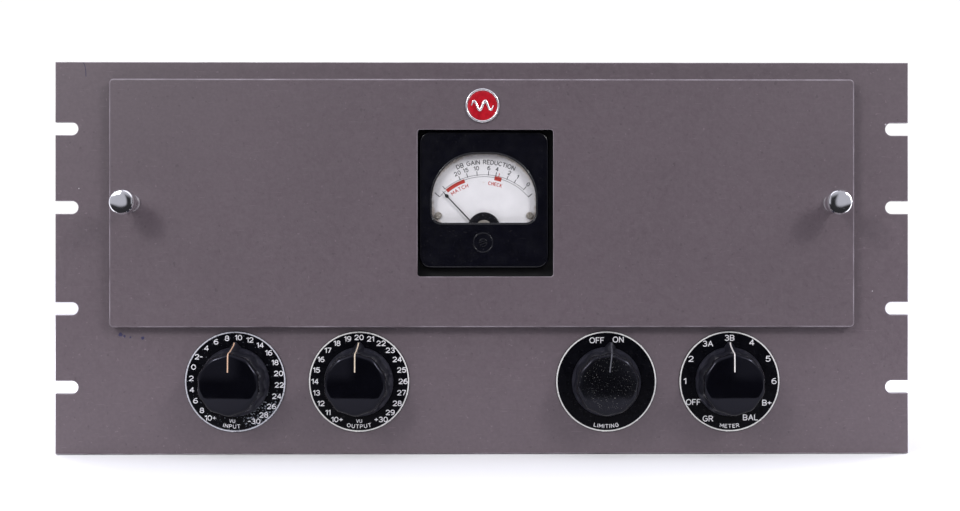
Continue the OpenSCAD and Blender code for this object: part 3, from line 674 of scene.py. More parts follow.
def marking(name, color, missing=0.0):
    """Printed ink with worn patches."""
    f = Finish(name, color, 0.5)
    f.tone(1.4, 0.85, 1.08)
    gone = f.range(f.noise(1.1, 2.0, shift=11), 0.66 - missing, 0.7 - missing)
    f.over(f.math("MULTIPLY", gone, 0.8), [c * 0.25 for c in color])
    return f.bump(f.noise(0.5, 1.0), 0.003).end()


PAINT_COLOR = (0.0955, 0.0728, 0.0852)
paint = enamel_paint("panel_paint_marked", PAINT_COLOR, marks=True)
cover_paint = enamel_paint("cover_paint", [c * 0.96 for c in PAINT_COLOR], 0.5)
chrome = plated("chrome_plate", (0.86, 0.86, 0.88), 0.03, 0.1, tone=0.03, relief=0.0008)
steel = plated("zinc_steel", (0.55, 0.55, 0.54), 0.28, 0.42, tone=0.1)
deck_steel = plated("chassis_plating", (0.38, 0.37, 0.34), 0.3, 0.5, (6, 1, 1), 0.14, 0.01)
brass = plated("brass_metal", (0.55, 0.42, 0.2), 0.22, 0.4, tone=0.15)
nickel = plated("nickel_dull", (0.36, 0.33, 0.29), 0.35, 0.5, tone=0.15, metallic=0.4)
alloy = plated("aluminium_can", (0.5, 0.51, 0.53), 0.3, 0.42, (1, 5, 1), 0.06, 0.0012)
mu_plate = plated("mu_metal_can", (0.48, 0.47, 0.45), 0.32, 0.46, (1, 5, 1), 0.12, 0.0012)
bakelite = moulded("bakelite_black", (0.006, 0.006, 0.008), 0.09, 0.22, 0.12)
knob_black = knob_moulding("knob_bakelite", (0.0016, 0.0016, 0.0027), 0.012, 0.9, 0.03, 0.26)
dusty_knob = knob_moulding("knob_bakelite_dusty", (0.003, 0.003, 0.004), 0.8, 0.5, 0.08, 0.22)
meter_black = moulded("meter_case_bakelite", (0.0022, 0.0022, 0.0045), 0.12, 0.22, 0.08, 0.0008, 0.35)
core_black = moulded("core_enamel", (0.012, 0.012, 0.013), 0.25, 0.42, 0.3, 0.02)
can_grey = moulded("can_hammer_paint", (0.075, 0.082, 0.086), 0.3, 0.42, 0.2, 0.05)
tube_black = moulded("tube_shell_paint", (0.007, 0.007, 0.008), 0.26, 0.4, 0.25, 0.02)
socket_brown = moulded("socket_phenolic", (0.03, 0.018, 0.012), 0.3, 0.45, 0.2)
# Black finish for the meter bracket that also serves as painted shade, keeping the gap round the meter dark
gap_shade_black = moulded("bracket_black_painted_shade", (0.004, 0.004, 0.005), 0.45, 0.6, 0.05)
laminations = laminated("core_laminations", (0.06, 0.058, 0.06), "Y")
phenolic = fibre("phenolic_board", (0.2, 0.095, 0.04))
white_ink = marking("dial_white", (0.68, 0.67, 0.69))
chipped_ink = marking("dial_white_chipped", (0.72, 0.71, 0.74), 0.05)
rim_ink = marking("dial_rim_white", (0.62, 0.61, 0.6))
chipped_rim_ink = marking("dial_rim_chipped", (0.5, 0.5, 0.55), 0.05)
black_ink = marking("scale_black", (0.03, 0.03, 0.035))
red_ink = marking("scale_red", (0.5, 0.035, 0.02))
blue_ink = marking("pen_blue", (0.012, 0.01, 0.05))
needle_black = moulded("needle_lacquer", (0.006, 0.006, 0.007), 0.35, 0.5, 0.05)
scale_paper = card()
clear_glass = glass("meter_glass", (0.05, 0.05, 0.05), 0.05)
bulb_glass = glass("tube_glass_clear", (0.1, 0.11, 0.12), 0.34, 0.02)
getter_film = plated("getter_film", (0.3, 0.29, 0.31), 0.08, 0.2)
mica = moulded("mica_spacer", (0.3, 0.28, 0.25), 0.3, 0.45)
solder = plated("tinned_lead", (0.66, 0.66, 0.68), 0.2, 0.4)


def badge_red():
    """Fired red enamel under a clear coat."""
    f = Finish("badge_enamel_red", (0.4, 0.009, 0.018), 0.12, Coat_Weight=0.6, Coat_Roughness=0.04)
    f.tone(3, 0.8, 1.2, detail=2)
    return f.bump(f.noise(1.5, 1.0), 0.01, 0.4).end()


def inlay(name, color):
    """Paint run into a groove or round a small part."""
    f = Finish(name, color, 0.5)
    f.tone(1.5, 0.8, 1.1)
    return f.bump(f.noise(0.5, 1.0), 0.006).end()


# ---- Lettering: each glyph is its width and its strokes, with a height of one ----

ROUND = [arc(0.3, 0.5, 0.3, 0.5, 90, 450)]
BOWL = [(0, 0), (0, 1), (0.27, 1)] + arc(0.27, 0.74, 0.27, 0.26, 90, -90) + [(0, 0.48)]
GLYPHS = {
    "0": (0.6, ROUND),
    "1": (0.24, [[(0, 0.8), (0.24, 1), (0.24, 0)]]),
    "2": (0.58, [arc(0.29, 0.7, 0.28, 0.3, 165, -35) + [(0, 0), (0.58, 0)]]),
    "3": (0.56, [arc(0.27, 0.75, 0.25, 0.25, 150, -90) + arc(0.27, 0.26, 0.29, 0.27, 90, -150)]),
    "4": (0.6, [[(0.44, 0), (0.44, 1), (0, 0.28), (0.6, 0.28)]]),
    "5": (0.56, [[(0.52, 1), (0.1, 1), (0.05, 0.52)] + arc(0.26, 0.32, 0.3, 0.32, 125, -145)]),
    "6": (0.58, [arc(0.42, 0.42, 0.42, 0.58, 80, 180), arc(0.29, 0.3, 0.29, 0.3, 90, 450)]),
    "7": (0.54, [[(0, 1), (0.54, 1), (0.18, 0)]]),
    "8": (0.56, [arc(0.28, 0.76, 0.23, 0.24, 90, 450), arc(0.28, 0.27, 0.28, 0.27, 90, 450)]),
    "9": (0.58, [arc(0.16, 0.58, 0.42, 0.58, -100, 0), arc(0.29, 0.7, 0.29, 0.3, 90, 450)]),
    "+": (0.5, [[(0.25, 0.22), (0.25, 0.72)], [(0, 0.47), (0.5, 0.47)]]),
    "-": (0.36, [[(0, 0.47), (0.36, 0.47)]]),
    "A": (0.66, [[(0, 0), (0.33, 1), (0.66, 0)], [(0.13, 0.36), (0.53, 0.36)]]),
    "B": (0.56, [BOWL, [(0.27, 0.48)] + arc(0.27, 0.24, 0.29, 0.24, 90, -90) + [(0, 0)]]),
    "C": (0.62, [arc(0.35, 0.5, 0.35, 0.5, 50, 310)]),
    "D": (0.6, [[(0, 0), (0, 1), (0.2, 1)] + arc(0.2, 0.5, 0.4, 0.5, 90, -90) + [(0, 0)]]),
    "E": (0.48, [[(0.48, 1), (0, 1), (0, 0), (0.48, 0)], [(0, 0.52), (0.4, 0.52)]]),
    "F": (0.46, [[(0.46, 1), (0, 1), (0, 0)], [(0, 0.5), (0.38, 0.5)]]),
    "G": (0.66, [arc(0.35, 0.5, 0.35, 0.5, 50, 345) + [(0.66, 0.47), (0.38, 0.47)]]),
    "H": (0.56, [[(0, 0), (0, 1)], [(0.56, 0), (0.56, 1)], [(0, 0.5), (0.56, 0.5)]]),
    "I": (0.02, [[(0, 0), (0, 1)]]),
    "K": (0.56, [[(0, 0), (0, 1)], [(0.54, 1), (0, 0.4)], [(0.18, 0.6), (0.56, 0)]]),
    "L": (0.46, [[(0, 1), (0, 0), (0.46, 0)]]),
    "M": (0.7, [[(0, 0), (0, 1), (0.35, 0.3), (0.7, 1), (0.7, 0)]]),
    "N": (0.58, [[(0, 0), (0, 1), (0.58, 0), (0.58, 1)]]),
    "O": (0.72, [arc(0.36, 0.5, 0.36, 0.5, 90, 450)]),
    "P": (0.54, [BOWL]),
    "R": (0.56, [BOWL, [(0.27, 0.48), (0.56, 0)]]),
    "T": (0.58, [[(0, 1), (0.58, 1)], [(0.29, 1), (0.29, 0)]]),
    "U": (0.58, [[(0, 1)] + arc(0.29, 0.29, 0.29, 0.29, 180, 360) + [(0.58, 1)]]),
    "V": (0.62, [[(0, 1), (0.31, 0), (0.62, 1)]]),
    " ": (0.3, []),
}
INK_T = 0.03
INK_LOW = -0.05


def runs(points):
    """A stroke cut at its sharp corners, so that each run only bends gently."""
    parts = [[points[0]]]
    for i, point in enumerate(points[1:], 1):
        parts[-1].append(point)
        if i < len(points) - 1:
            before = Vector(point) - Vector(points[i - 1])
            after = Vector(points[i + 1]) - Vector(point)
            if before.angle(after, 0.0) > math.radians(50):
                parts.append([point])
    return parts


def text_strokes(text, size, wide, gap):
    """Strokes of a line of text with its middle at the origin, each with its letter's middle."""
    pitch = size * wide
    total = sum(GLYPHS[c][0] for c in text) * pitch + gap * size * (len(text) - 1)
    pen = -total / 2
    for letter in text:
        width, strokes = GLYPHS[letter]
        for points in [run for whole in strokes for run in runs(whole)]:
            yield pen + width * pitch / 2, [(pen + x * pitch, (y - 0.5) * size) for x, y in points]
        pen += width * pitch + gap * size


def write(piece, text, size, x, y, weight, material, wide=1.0, gap=0.34):
    """A straight line of text with its middle at x, y; strokes that cross differ in height."""
    for i, (_, points) in enumerate(text_strokes(text, size, wide, gap)):
        top = INK_T * (1 + 0.12 * (i % 3))
        piece.add(stroke(moved(points, x, y), weight, INK_LOW, top), material)


def write_on_arc(piece, text, size, radius, middle, weight, material, wide=1.0, gap=0.35):
    """Text round an arc. A positive radius has its letters' tops outwards, a negative one inwards.

    middle is the direction of the text's middle, in degrees clockwise from straight up.
    """
    for i, (along, points) in enumerate(text_strokes(text, size, wide, gap)):
        turn = math.radians(middle if radius > 0 else middle - 180) + along / radius
        out = Vector((math.sin(turn), math.cos(turn)))
        right = Vector((out.y, -out.x))
        bent = [out * (radius + py) + right * (px - along) for px, py in points]
        top = INK_T * (1 + 0.12 * (i % 3))
        piece.add(stroke(bent, weight, INK_LOW, top), material)


def clock(angle, radius):
    """The point at an angle clockwise from straight up."""
    return radius * math.sin(math.radians(angle)), radius * math.cos(math.radians(angle))


# ---- Panel and cover ----

panel_low, panel_high = box("front_panel")
PANEL_FACE = panel_low.y
PANEL_HALF = panel_high.x
PANEL_TOP = panel_high.z
NOTCH_R = 3.57
NOTCH_X = PANEL_HALF - 9.3
NOTCH_Z = [PANEL_TOP / 2 + s * d for d in (57.15 / 2, 146.05 / 2) for s in (-1, 1)]
SHAFT_HOLE_R = 4.85
WINDOW = (372.0, 88.0, 190.0)  # width, bottom and top of the opening behind the cover
STUDS = [(s * 212.75, z) for s in (-1, 1) for z in (30, 110.75, 191.5)]
STUDS += [(s * 100, z) for s in (-1, 1) for z in (10.7, 210.8)]
dial_places = [centre(n + "_dial_plate") for n in ("input", "output", "limiting", "selector")]
thumb_places = [centre("thumbscrew_left"), centre("thumbscrew_right")]


def panel_outline():
    """The panel's edge with its open rack notches, anticlockwise from the bottom left."""
    notches = sorted(NOTCH_Z)
    points = [(-PANEL_HALF, 0), (PANEL_HALF, 0)]
    for z in notches:
        points.append((PANEL_HALF, z - NOTCH_R))
        points += arc(NOTCH_X, z, NOTCH_R, NOTCH_R, 270, 90, 11.25)
        points.append((PANEL_HALF, z + NOTCH_R))
    points += [(PANEL_HALF, PANEL_TOP), (-PANEL_HALF, PANEL_TOP)]
    for z in reversed(notches):
        points.append((-PANEL_HALF, z + NOTCH_R))
        points += arc(-NOTCH_X, z, NOTCH_R, NOTCH_R, 90, -90, 11.25)
        points.append((-PANEL_HALF, z - NOTCH_R))
    return points


def threaded_stud(radius, length):
    """A machine thread, cut as a row of rounded ridges."""
    pitch = 0.8
    path = [(0, 0), (radius, 0)]
    for i in range(1, int(length / pitch)):
        path += [(radius, i * pitch - 0.25), (radius - 0.3, i * pitch)]
    path += [(radius, length - 0.6), (radius - 0.5, length), (0, length)]
    return lathe(path, 24)


def build_panel():
    w, low, high = WINDOW
    holes = [moved(rounded_rect(w, high - low, 6), 0, (low + high) / 2)]
    holes += [moved(circle(SHAFT_HOLE_R, 40), p.x, p.z) for p in dial_places]
    holes += [moved(circle(2.88, 32), p.x, p.z) for p in thumb_places]
    plate = slab(panel_outline(), holes, 0, -PANEL_FACE, 0.45, 0.3, 0.3)
    piece = Piece("rack_panel").add(plate, paint, front(0, 0, 0))
    for x, z in STUDS:
        piece.add(threaded_stud(2.38, 8), paint, rear(x, -0.1, z))
    bracket = centre("meter_bracket")
    for sx in (-1, 1):
        for z in (83.5, 194.5):
            piece.add(threaded_stud(1.9, 6), paint, rear(bracket.x + sx * 48, -0.1, z))
    pen = [(-225.4, 221.1), (-224.9, 220.2), (-224.4, 218.6), (-224.1, 216.4), (-224, 213.4)]
    piece.add(stroke(pen, 0.36, INK_LOW, 0.02), blue_ink, front(0, PANEL_FACE, 0))
    piece.done("frame", "panel_paint", ["front_panel"])


def build_cover():
    low, high = box("front_cover")
    middle = (low + high) / 2
    depth = high.y - low.y
    holes = [moved(rounded_rect(76.2, 82.55, 1.5), 1.6, 0)]
    holes += [moved(circle(3.3, 40), p.x, 0) for p in thumb_places]
    outline = rounded_rect(high.x - low.x, high.z - low.z, 2.5)
    lid = tray(outline, holes, depth, 1.2, 0.9, 0.5)
    place = front(middle.x, high.y, middle.z)
    piece = Piece("cover_lid").add(lid, cover_paint, place)
    piece.done("cover", "panel_paint", ["front_cover"])


def build_badge():
    place = centre("badge_enamel")
    face = box("badge_enamel")[1].y
    origin = front(place.x, face, place.z)
    rim = [(8.3, 0), (9.75, 0, 0.1), (9.75, 0.8, 0.3), (9.3, 1.5, 0.4), (8.65, 1.5, 0.3), (8.3, 1, 0.2)]
    bezel = Piece("badge_rim", origin).add(lathe(rim, 96, True), chrome)
    bezel.done("cover", "chrome", ["badge_bezel"])
    field = lathe([(0, 0), (8.3, 0), (8.3, 0.65, 0.1), (7.4, 0.72), (4, 0.78), (0, 0.8)], 96)
    Piece("badge_field", origin).add(field, badge_red()).done("cover", "red_enamel", ["badge_enamel"])
    wave = []
    for i in range(49):
        t = i / 48 * 2 - 1
        wave.append((6.2 * t, 2.6 * math.sin(t * math.tau), 0.85))
    sign = Piece("badge_wave", origin)
    sign.add(tube(wave, lambda t: 0.25 + 0.75 * math.sin(math.pi * t) ** 0.6 * 0.75, 12), chrome)
    sign.done("cover", "chrome")


def build_thumbscrew(side, body):
    place = centre("thumbscrew_" + side)
    low, high = box("thumbscrew_" + side)
    cover_face = box("front_cover")[0].y
    reach = cover_face - low.y
    behind = high.y - cover_face

    def knurl(angle, radius, height):
        on_grip = 20.7 < height < 23.5 and radius > 7
        return -0.16 * abs(math.sin(angle * 30)) if on_grip else 0.0

    head = [
        (0, 0), (5.2, 0, 0.2), (5.2, 1.5, 0.4), (4.1, 3, 1.2), (4.1, 14.4, 0.8), (6.9, 16.2, 0.7),
        (6.9, 18.4, 0.7), (5.9, 19.4, 0.3), (7.25, 20.6, 0.5), (7.25, 22.9, 0.9),
    ]
    crown = (6.1, 5.5, 4.9, 4.2, 3.5, 2.8, 2, 1, 0)
    head += [(r, reach - 0.0002 * r ** 4 - 0.004 * r * r) for r in crown]
    path = [
        (0, -behind), (1.58, -behind), (2.38, -behind + 0.8), (2.38, -1.9), (2.35, -1.9),
        (2.35, -1.3), (3, -1.3, 0.1), (3, 0.02, 0.05), (0, 0.02),
    ]
    origin = front(place.x, cover_face, place.z)
    piece = Piece("thumbscrew_body_" + side, origin)
    piece.add(lathe(head, 180, ripple=knurl), chrome).add(lathe(path, 48), chrome)
    for i in range(9):
        height = -3.4 - i * 1.0
        if height > -behind + 1.2:
            ridge = [
                (2.2, height - 0.3), (2.38, height - 0.2, 0.1),
                (2.38, height + 0.2, 0.1), (2.2, height + 0.3),
            ]
            piece.add(lathe(ridge, 40, True), chrome)
    piece.done(body, "chrome", ["thumbscrew_" + side], 30)
    ring_low, ring_high = box("retaining_ring_" + side)
    clip = slab(circle(5.2, 48), [circle(2.36, 32)], 0, ring_high.y - ring_low.y, 0.12, 0.08)
    clip_piece = Piece("thumb_clip_" + side, front(place.x, ring_high.y, place.z))
    clip_piece.add(clip, steel).done(body, "steel", ["retaining_ring_" + side])


# ---- Dials and knobs ----

def spread(labels, first, last):
    """(label, angle) pairs at an even pitch."""
    step = (last - first) / (len(labels) - 1)
    return [(label, first + i * step) for i, label in enumerate(labels)]


DIAL_R = 28.57
DIAL_RING_R = 27.95
# Each dial's labels, word, whether it shows units, and how far its word stands off the bottom
DIALS = {
    "input": (
        spread("10+ 8 6 4 2 0 2- 4 6 8 10 12 14 16 18 20 22 24 26 28 -30".split(), -146, 154.7),
        "INPUT", True, 4.4,
    ),
    "output": (
        spread("10+ 11 12 13 14 15 16 17 18 19 20 21 22 23 24 25 26 27 28 29 +30".split(), -150, 150),
        "OUTPUT", True, 0.0,
    ),
    "limiting": ([("OFF", -13), ("ON", 16)], "LIMITING", False, 0.0),
    "selector": (
        spread("GR OFF 1 2 3A 3B 4 5 6 B+ BAL".split(), -150, 150),
        "METER", False, 0.0,
    ),
}


def build_dial(name):
    labels, word, units, twist = DIALS[name]
    place = centre(name + "_dial_plate")
    low, high = box(name + "_dial_plate")
    thick = high.y - low.y
    origin = front(place.x, high.y, place.z)
    chipped = name == "input"
    plate = slab(circle(DIAL_R, 128), [circle(SHAFT_HOLE_R, 40)], 0, thick, 0.3, 0.1)
    lacquer = dial_lacquer("dial_lacquer_" + name, chipped)
    piece = Piece(name + "_dial", origin).add(plate, lacquer)
    piece.done("frame", "dial_black", [name + "_dial_plate"])
    ink = chipped_ink if chipped else white_ink
    marks = Piece(name + "_dial_marks", front(place.x, low.y, place.z))
    ring = [clock(a * 3.75, DIAL_RING_R) for a in range(97)]
    marks.add(stroke(ring, 0.75, INK_LOW, INK_T), chipped_rim_ink if chipped else rim_ink)
    size = 2.6 if units else 2.9
    for label, angle in labels:
        x, y = clock(angle, 24.85 if units else 26 - 0.75 * len(label))
        write(marks, label, size, x, y + 0.15, 0.48, ink, 1.3 if len(label) > 1 else 1.45, 0.3)
    write_on_arc(marks, word, 1.9, -25.3, 180 + twist, 0.36, ink, 1.35, 0.45)
    if units:
        write_on_arc(marks, "VU", 1.7, -22.3, 180 + twist, 0.36, ink, 1.2)
    marks.done("frame", "scale_card", weighted=False)


KNOB_H = 24.0
CAP_EDGE_H = SIDE_TOP
RIM_R = 2.5
FLUTES = 10
# (height, radius) and (height, depth) pairs
SIDE = [
    (0, 19.2), (0.3, 19.5), (1.4, 19.5), (1.8, 19.3), (2.5, 18.9), (3.5, 18.4), (5, 18.1), (7, 17.95),
    (10, 17.9), (14, 17.9), (18, 17.75), (21.3, 17.4),
]
FLUTE_DEPTH = [
    (0, 0), (1.9, 0), (4, 0.6), (7, 1.25), (12, 1.4), (16, 1.3), (19, 0.95), (21.3, 0.6),
]
RING_HEIGHTS = [0.1, 0.3, 0.7, 1.1, 1.5, 1.9, 2.4, 3, 3.6, 4.3, 5, 6, 7, 8.5, 10, 12, 14, 16, 18, 19.5, 20.7]


def along_table(table, value):
    """Straight-line reading of a table of (input, output) pairs."""
    for (x0, y0), (x1, y1) in zip(table, table[1:]):
        if value <= x1:
            return y0 + (y1 - y0) * (value - x0) / (x1 - x0)
    return table[-1][1]


def knob_radius(height, angle):
    """Radius of the knob's side, with ten hollow flutes that fade out on the skirt and the cap."""
    flute = 0.5 - 0.5 * math.cos(FLUTES * angle)
    return along_table(SIDE, height) - along_table(FLUTE_DEPTH, height) * flute


def cap_height(share):
    """Height of the domed cap at a share of its radius."""
    edge = CAP_EDGE_H + 0.86 * RIM_R
    return edge + (KNOB_H - edge) * (1 - share * share)


def knob_shell():
    """The knob from its hollow back, up the side, over the rounded rim to the domed cap."""
    segments = 240
    angles = [math.tau * i / segments for i in range(segments)]

    def ring(radius, height):
        points = []
        for a in angles:
            r = radius(a - math.pi / 2) if callable(radius) else radius
            points.append(Vector((r * math.cos(a), r * math.sin(a), height)))
        return points

    rings = [[Vector((0, 0, 17.9))]]  # the bottom of the shaft's bore
    rings += [ring(r, h) for r, h in [(3.19, 17.9), (3.19, 4), (10, 4), (10, 0.3), (10.4, 0), (18.9, 0)]]
    for h in RING_HEIGHTS + [CAP_EDGE_H]:
        rings.append(ring(lambda a: knob_radius(h, a), h))
    rim = knob_radius(CAP_EDGE_H, 0)
    for i in range(1, 9):
        turn = math.pi / 2 * i / 8
        left = math.cos(turn)
        back = RIM_R * (1 - left)
        height = CAP_EDGE_H + 0.86 * RIM_R * math.sin(turn)
        rings.append(ring(lambda a: rim - back - left * (rim - knob_radius(CAP_EDGE_H, a)), height))
    for share in (0.92, 0.8, 0.65, 0.5, 0.35, 0.2, 0.1):
        rings.append(ring((rim - RIM_R) * share, cap_height(share)))
    rings.append([Vector((0, 0, KNOB_H))])
    return loft(rings)


# The pointer's nib, from the knob's side outwards: (distance, top, half width below, half width on top)
NIB = [
    (14.5, 20.6, 3.6, 1.0), (17.0, 20.2, 3.6, 0.9), (17.9, 17.0, 3.5, 0.9), (18.9, 12.5, 3.3, 0.9),
    (19.9, 8.0, 2.9, 0.85), (20.8, 4.8, 2.2, 0.8), (21.6, 3.2, 1.6, 0.7), (22.2, 2.5, 1.1, 0.6),
    (22.45, 1.9, 0.8, 0.5),
]


def nib_shell():
    rings = []
    for y, top, wide, narrow in NIB:
        right = [(narrow - 0.35, top), (narrow, top - 0.35), (wide, 0.05)]
        left = [(-x, h) for x, h in reversed(right)]
        rings.append([Vector((x, y, h)) for x, h in left + right])
    return loft(rings)


def inlay_path():
    """(distance, height) points of the pointer line: over the cap, down the side and along the nib."""
    flat_r = knob_radius(CAP_EDGE_H, 0) - RIM_R
    points = [(r, cap_height(r / flat_r)) for r in (7.0, 9, 11, 13, flat_r)]
    for i in range(1, 7):
        turn = math.pi / 2 * (1 - i / 6)
        points.append((flat_r + RIM_R * math.cos(turn), CAP_EDGE_H + 0.86 * RIM_R * math.sin(turn)))
    points += [(y, top) for y, top, _, _ in NIB[2:-1]]
    return points


def inlay_shell(half):
    path = [Vector(p) for p in inlay_path()]
    rings = []
    for i, p in enumerate(path):
        t = (path[min(len(path) - 1, i + 1)] - path[max(0, i - 1)]).normalized()
        out = Vector((-t.y, t.x)) if t.x > 0.05 or t.y < 0 else Vector((t.y, -t.x))
        low, high = p - out * 0.4, p + out * 0.05
        rings.append([
            Vector((-half, low.x, low.y)), Vector((half, low.x, low.y)),
            Vector((half, high.x, high.y)), Vector((-half, high.x, high.y)),
        ])
    return loft(rings)


def build_knob(name, body, line_color, black):
    place = centre(name + "_dial_plate")
    back = box(name + "_knob")[1].y
    origin = front(place.x, back, place.z, 7.0 if name == "limiting" else 0.0)
    piece = Piece(name + "_knob_body", origin).add([knob_shell(), nib_shell()], black)
    piece.done(body, "bakelite", [name + "_knob"], 50)
    line = inlay("pointer_line_" + name, line_color)
    Piece(name + "_knob_line", origin).add(inlay_shell(0.34), line).done(body, "scale_card", sharp=60)


# ---- Meter ----

meter_box = box("meter_case")
METER = Vector(((meter_box[0].x + meter_box[1].x) / 2, 0, (meter_box[0].z + meter_box[1].z) / 2))
METER_FACE = meter_box[0].y
METER_FLANGE = rounded_rect(73.5, 77.5, 7)
PIVOT_Z = METER.z - 20.2
WINDOW_BOTTOM = 130.7 - METER.z
SCALE_R = 34.5


def window_outline(grow=0.0):
    """The D-shaped window about the meter's middle."""
    half, bottom = 29.3 + grow, WINDOW_BOTTOM - grow
    r = 25.5 + grow
    points = arc(half - 6, bottom + 6, 6, 6, 270, 360, 15)
    points += arc(3.8, 0.3, r, r, 0, 90, 7.5)
    points += arc(-3.8, 0.3, r, r, 90, 180, 7.5)
    points += arc(-half + 6, bottom + 6, 6, 6, 180, 270, 15)
    return points


def build_meter_case():
    depth = -METER_FACE
    place = front(METER.x, 0, METER.z)
    piece = Piece("meter_housing", place)
    face = slab(METER_FLANGE, [window_outline()], depth - 1.2, depth, 1.1, 0.45, steps=4)
    piece.add(face, meter_black)
    wall = slab(METER_FLANGE, [rounded_rect(66, 70, 5)], 0, depth - 1.15, 0, 0)
    piece.add(wall, meter_black)
    # Raised lip round the window and the moulded ring round the zero screw
    lip = [Vector((x, y, depth - 0.5)) for x, y in window_outline(0.65)]
    piece.add(tube(lip, 0.65, 10, True), bakelite)
    ring_y = PIVOT_Z - 4 - METER.z
    ring = [(x, y, depth - 0.12) for x, y in moved(circle(5.4), -0.45, ring_y)]
    piece.add(tube(ring, 0.42, 10, True), meter_black)
    barrel = [(31.5, 0), (31.5, -31, 1), (30.5, -32), (0, -32), (0, -30), (29.5, -30), (29.5, 0)]
    piece.add(lathe([(r, z) + tuple(f) for r, z, *f in barrel], 96, True), meter_black)
    for sx, sz in CORNERS:
        rearward = at(sx * 28.8, sz * 31.5) @ Matrix.Rotation(math.pi, 4, "X")
        piece.add(threaded_stud(1.5, 6), brass, rearward)
    piece.done("frame", "bakelite", ["meter_case"])


def build_meter_window():
    low, high = box("meter_window")
    pane = slab(window_outline(1.2), (), 0, high.y - low.y, 0.1)
    place = front(METER.x, high.y, METER.z)
    Piece("meter_glass_pane", place).add(pane, clear_glass).done("frame", "clear", ["meter_window"])


# Each numeral's angle, clockwise from straight up
SCALE_NUMERALS = [
    ("20", -23.2), ("15", -15.7), ("10", -6.5), ("6", 4.1),
    ("4", 11.2), ("2", 22.1), ("1", 29.8), ("0", 40.8),
]
# The same angle, then where the tick starts and ends beyond the scale's arc
SCALE_TICKS = [(-49, -1.1, 2.4), (49, -1.1, 1.6), (-40, -0.2, 2.0)]
SCALE_TICKS += [(angle, -0.2, 2.0) for _, angle in SCALE_NUMERALS]


def build_scale():
    low, high = box("meter_scale")
    middle = (low + high) / 2
    thick = high.y - low.y
    origin = front(METER.x, high.y, METER.z)
    holes = [(sx * 25.9, 134.9 - METER.z) for sx in (-1, 1)]
    plate = slab(
        moved(rounded_rect(63, 44, 2), 0, middle.z - METER.z),
        [moved(circle(1.05, 20), x, y) for x, y in holes], 0, thick, 0.1, 0.05,
    )
    Piece("scale_plate", origin).add(plate, scale_paper).done("frame", "scale_card", ["meter_scale"])
    face = front(METER.x, low.y, PIVOT_Z)
    marks = Piece("scale_marks", face)
    for radius in (SCALE_R, SCALE_R - 1.1):
        marks.add(stroke([clock(a, radius) for a in range(-40, 42, 3)], 0.24, INK_LOW, INK_T), black_ink)
    for angle, start, length in SCALE_TICKS:
        line = [clock(angle, SCALE_R + start), clock(angle, SCALE_R + length)]
        marks.add(stroke(line, 0.42, INK_LOW, INK_T * 1.2), black_ink)
    for side in (-1, 1):
        corner = [clock(side * 41, SCALE_R - 1.1), clock(side * 49, SCALE_R - 1.1)]
        marks.add(stroke(corner, 0.24, INK_LOW, INK_T * 1.1), black_ink)
    for text, angle in SCALE_NUMERALS:
        write_on_arc(marks, text, 2.1, 38.4, angle, 0.4, black_ink, 1.1)
    write_on_arc(marks, "DB GAIN REDUCTION", 2.2, 41.7, 1.4, 0.42, black_ink, 1.24, 0.31)
    marks.done("frame", "needle_black", weighted=False)
    red = Piece("scale_red_marks", face)
    red.add(sector(SCALE_R - 2.7, SCALE_R - 0.6, -40, -19.5), red_ink)
    red.add(sector(SCALE_R - 2.6, SCALE_R - 0.3, 10.3, 17.3), red_ink)
    check = [clock(14, SCALE_R - 1), clock(14, SCALE_R + 1.8)]
    red.add(stroke(check, 0.42, INK_LOW, INK_T * 1.3), red_ink)
    write_on_arc(red, "MATCH", 1.85, 29.8, -28, 0.38, red_ink, 1.3, 0.38)
    write_on_arc(red, "CHECK", 1.75, 29.8, 12.2, 0.36, red_ink, 1.05)
    red.done("frame", "red_enamel", weighted=False)
    screws = Piece("scale_plate_screws", front(METER.x, low.y, METER.z))
    for i, (x, y) in enumerate(holes):
        screws.add(slotted_head(2.0, 0.9, 0.5), nickel, at(x, y, 0, 35 + 70 * i))
        screws.add(pin(1, -1.4, 0.1, 20), nickel, at(x, y))
    screws.done("frame", "brass", ["meter_scale_screws"])


def build_needle():
    low, _ = box("meter_needle")
    rest = -43.3
    origin = front(METER.x, 0, PIVOT_Z, rest)
    top = -low.y
    piece = Piece("meter_pointer", origin)
    length = 34.3
    outline = [(0.45, -5), (0.38, 8), (0.3, length - 4.6)]
    outline += [(x, y + length - 3.6) for x, y in arc(0, 0, 1.05, 1.2, -68, 68, 20)]
    outline += [(0.25, length - 2), (0.14, length)]
    outline += [(-x, y) for x, y in reversed(outline)]
    piece.add(slab(outline, (), top - 0.45, top - 0.05, 0.08, 0, 0.05, 1), needle_black)
    weight = [(0, top - 0.5), (1.1, top - 0.5), (1.1, top, 0.1), (0, top)]
    piece.add(lathe(weight, 24), needle_black, at(0, -6))
    hub = [(0.55, -1.8), (1.6, -1.8), (1.6, top - 0.1, 0.2), (0.55, top - 0.1)]
    piece.add(lathe(hub, 32, True), brass)
    coil = [(5.6, -12), (6.2, -12, 0.2), (6.2, -1.2, 0.2), (0.55, -1.2), (0.55, -1.8), (5.6, -1.8)]
    piece.add(lathe(coil, 48, True), brass)
    piece.done("needle", "needle_black", ["meter_needle"])


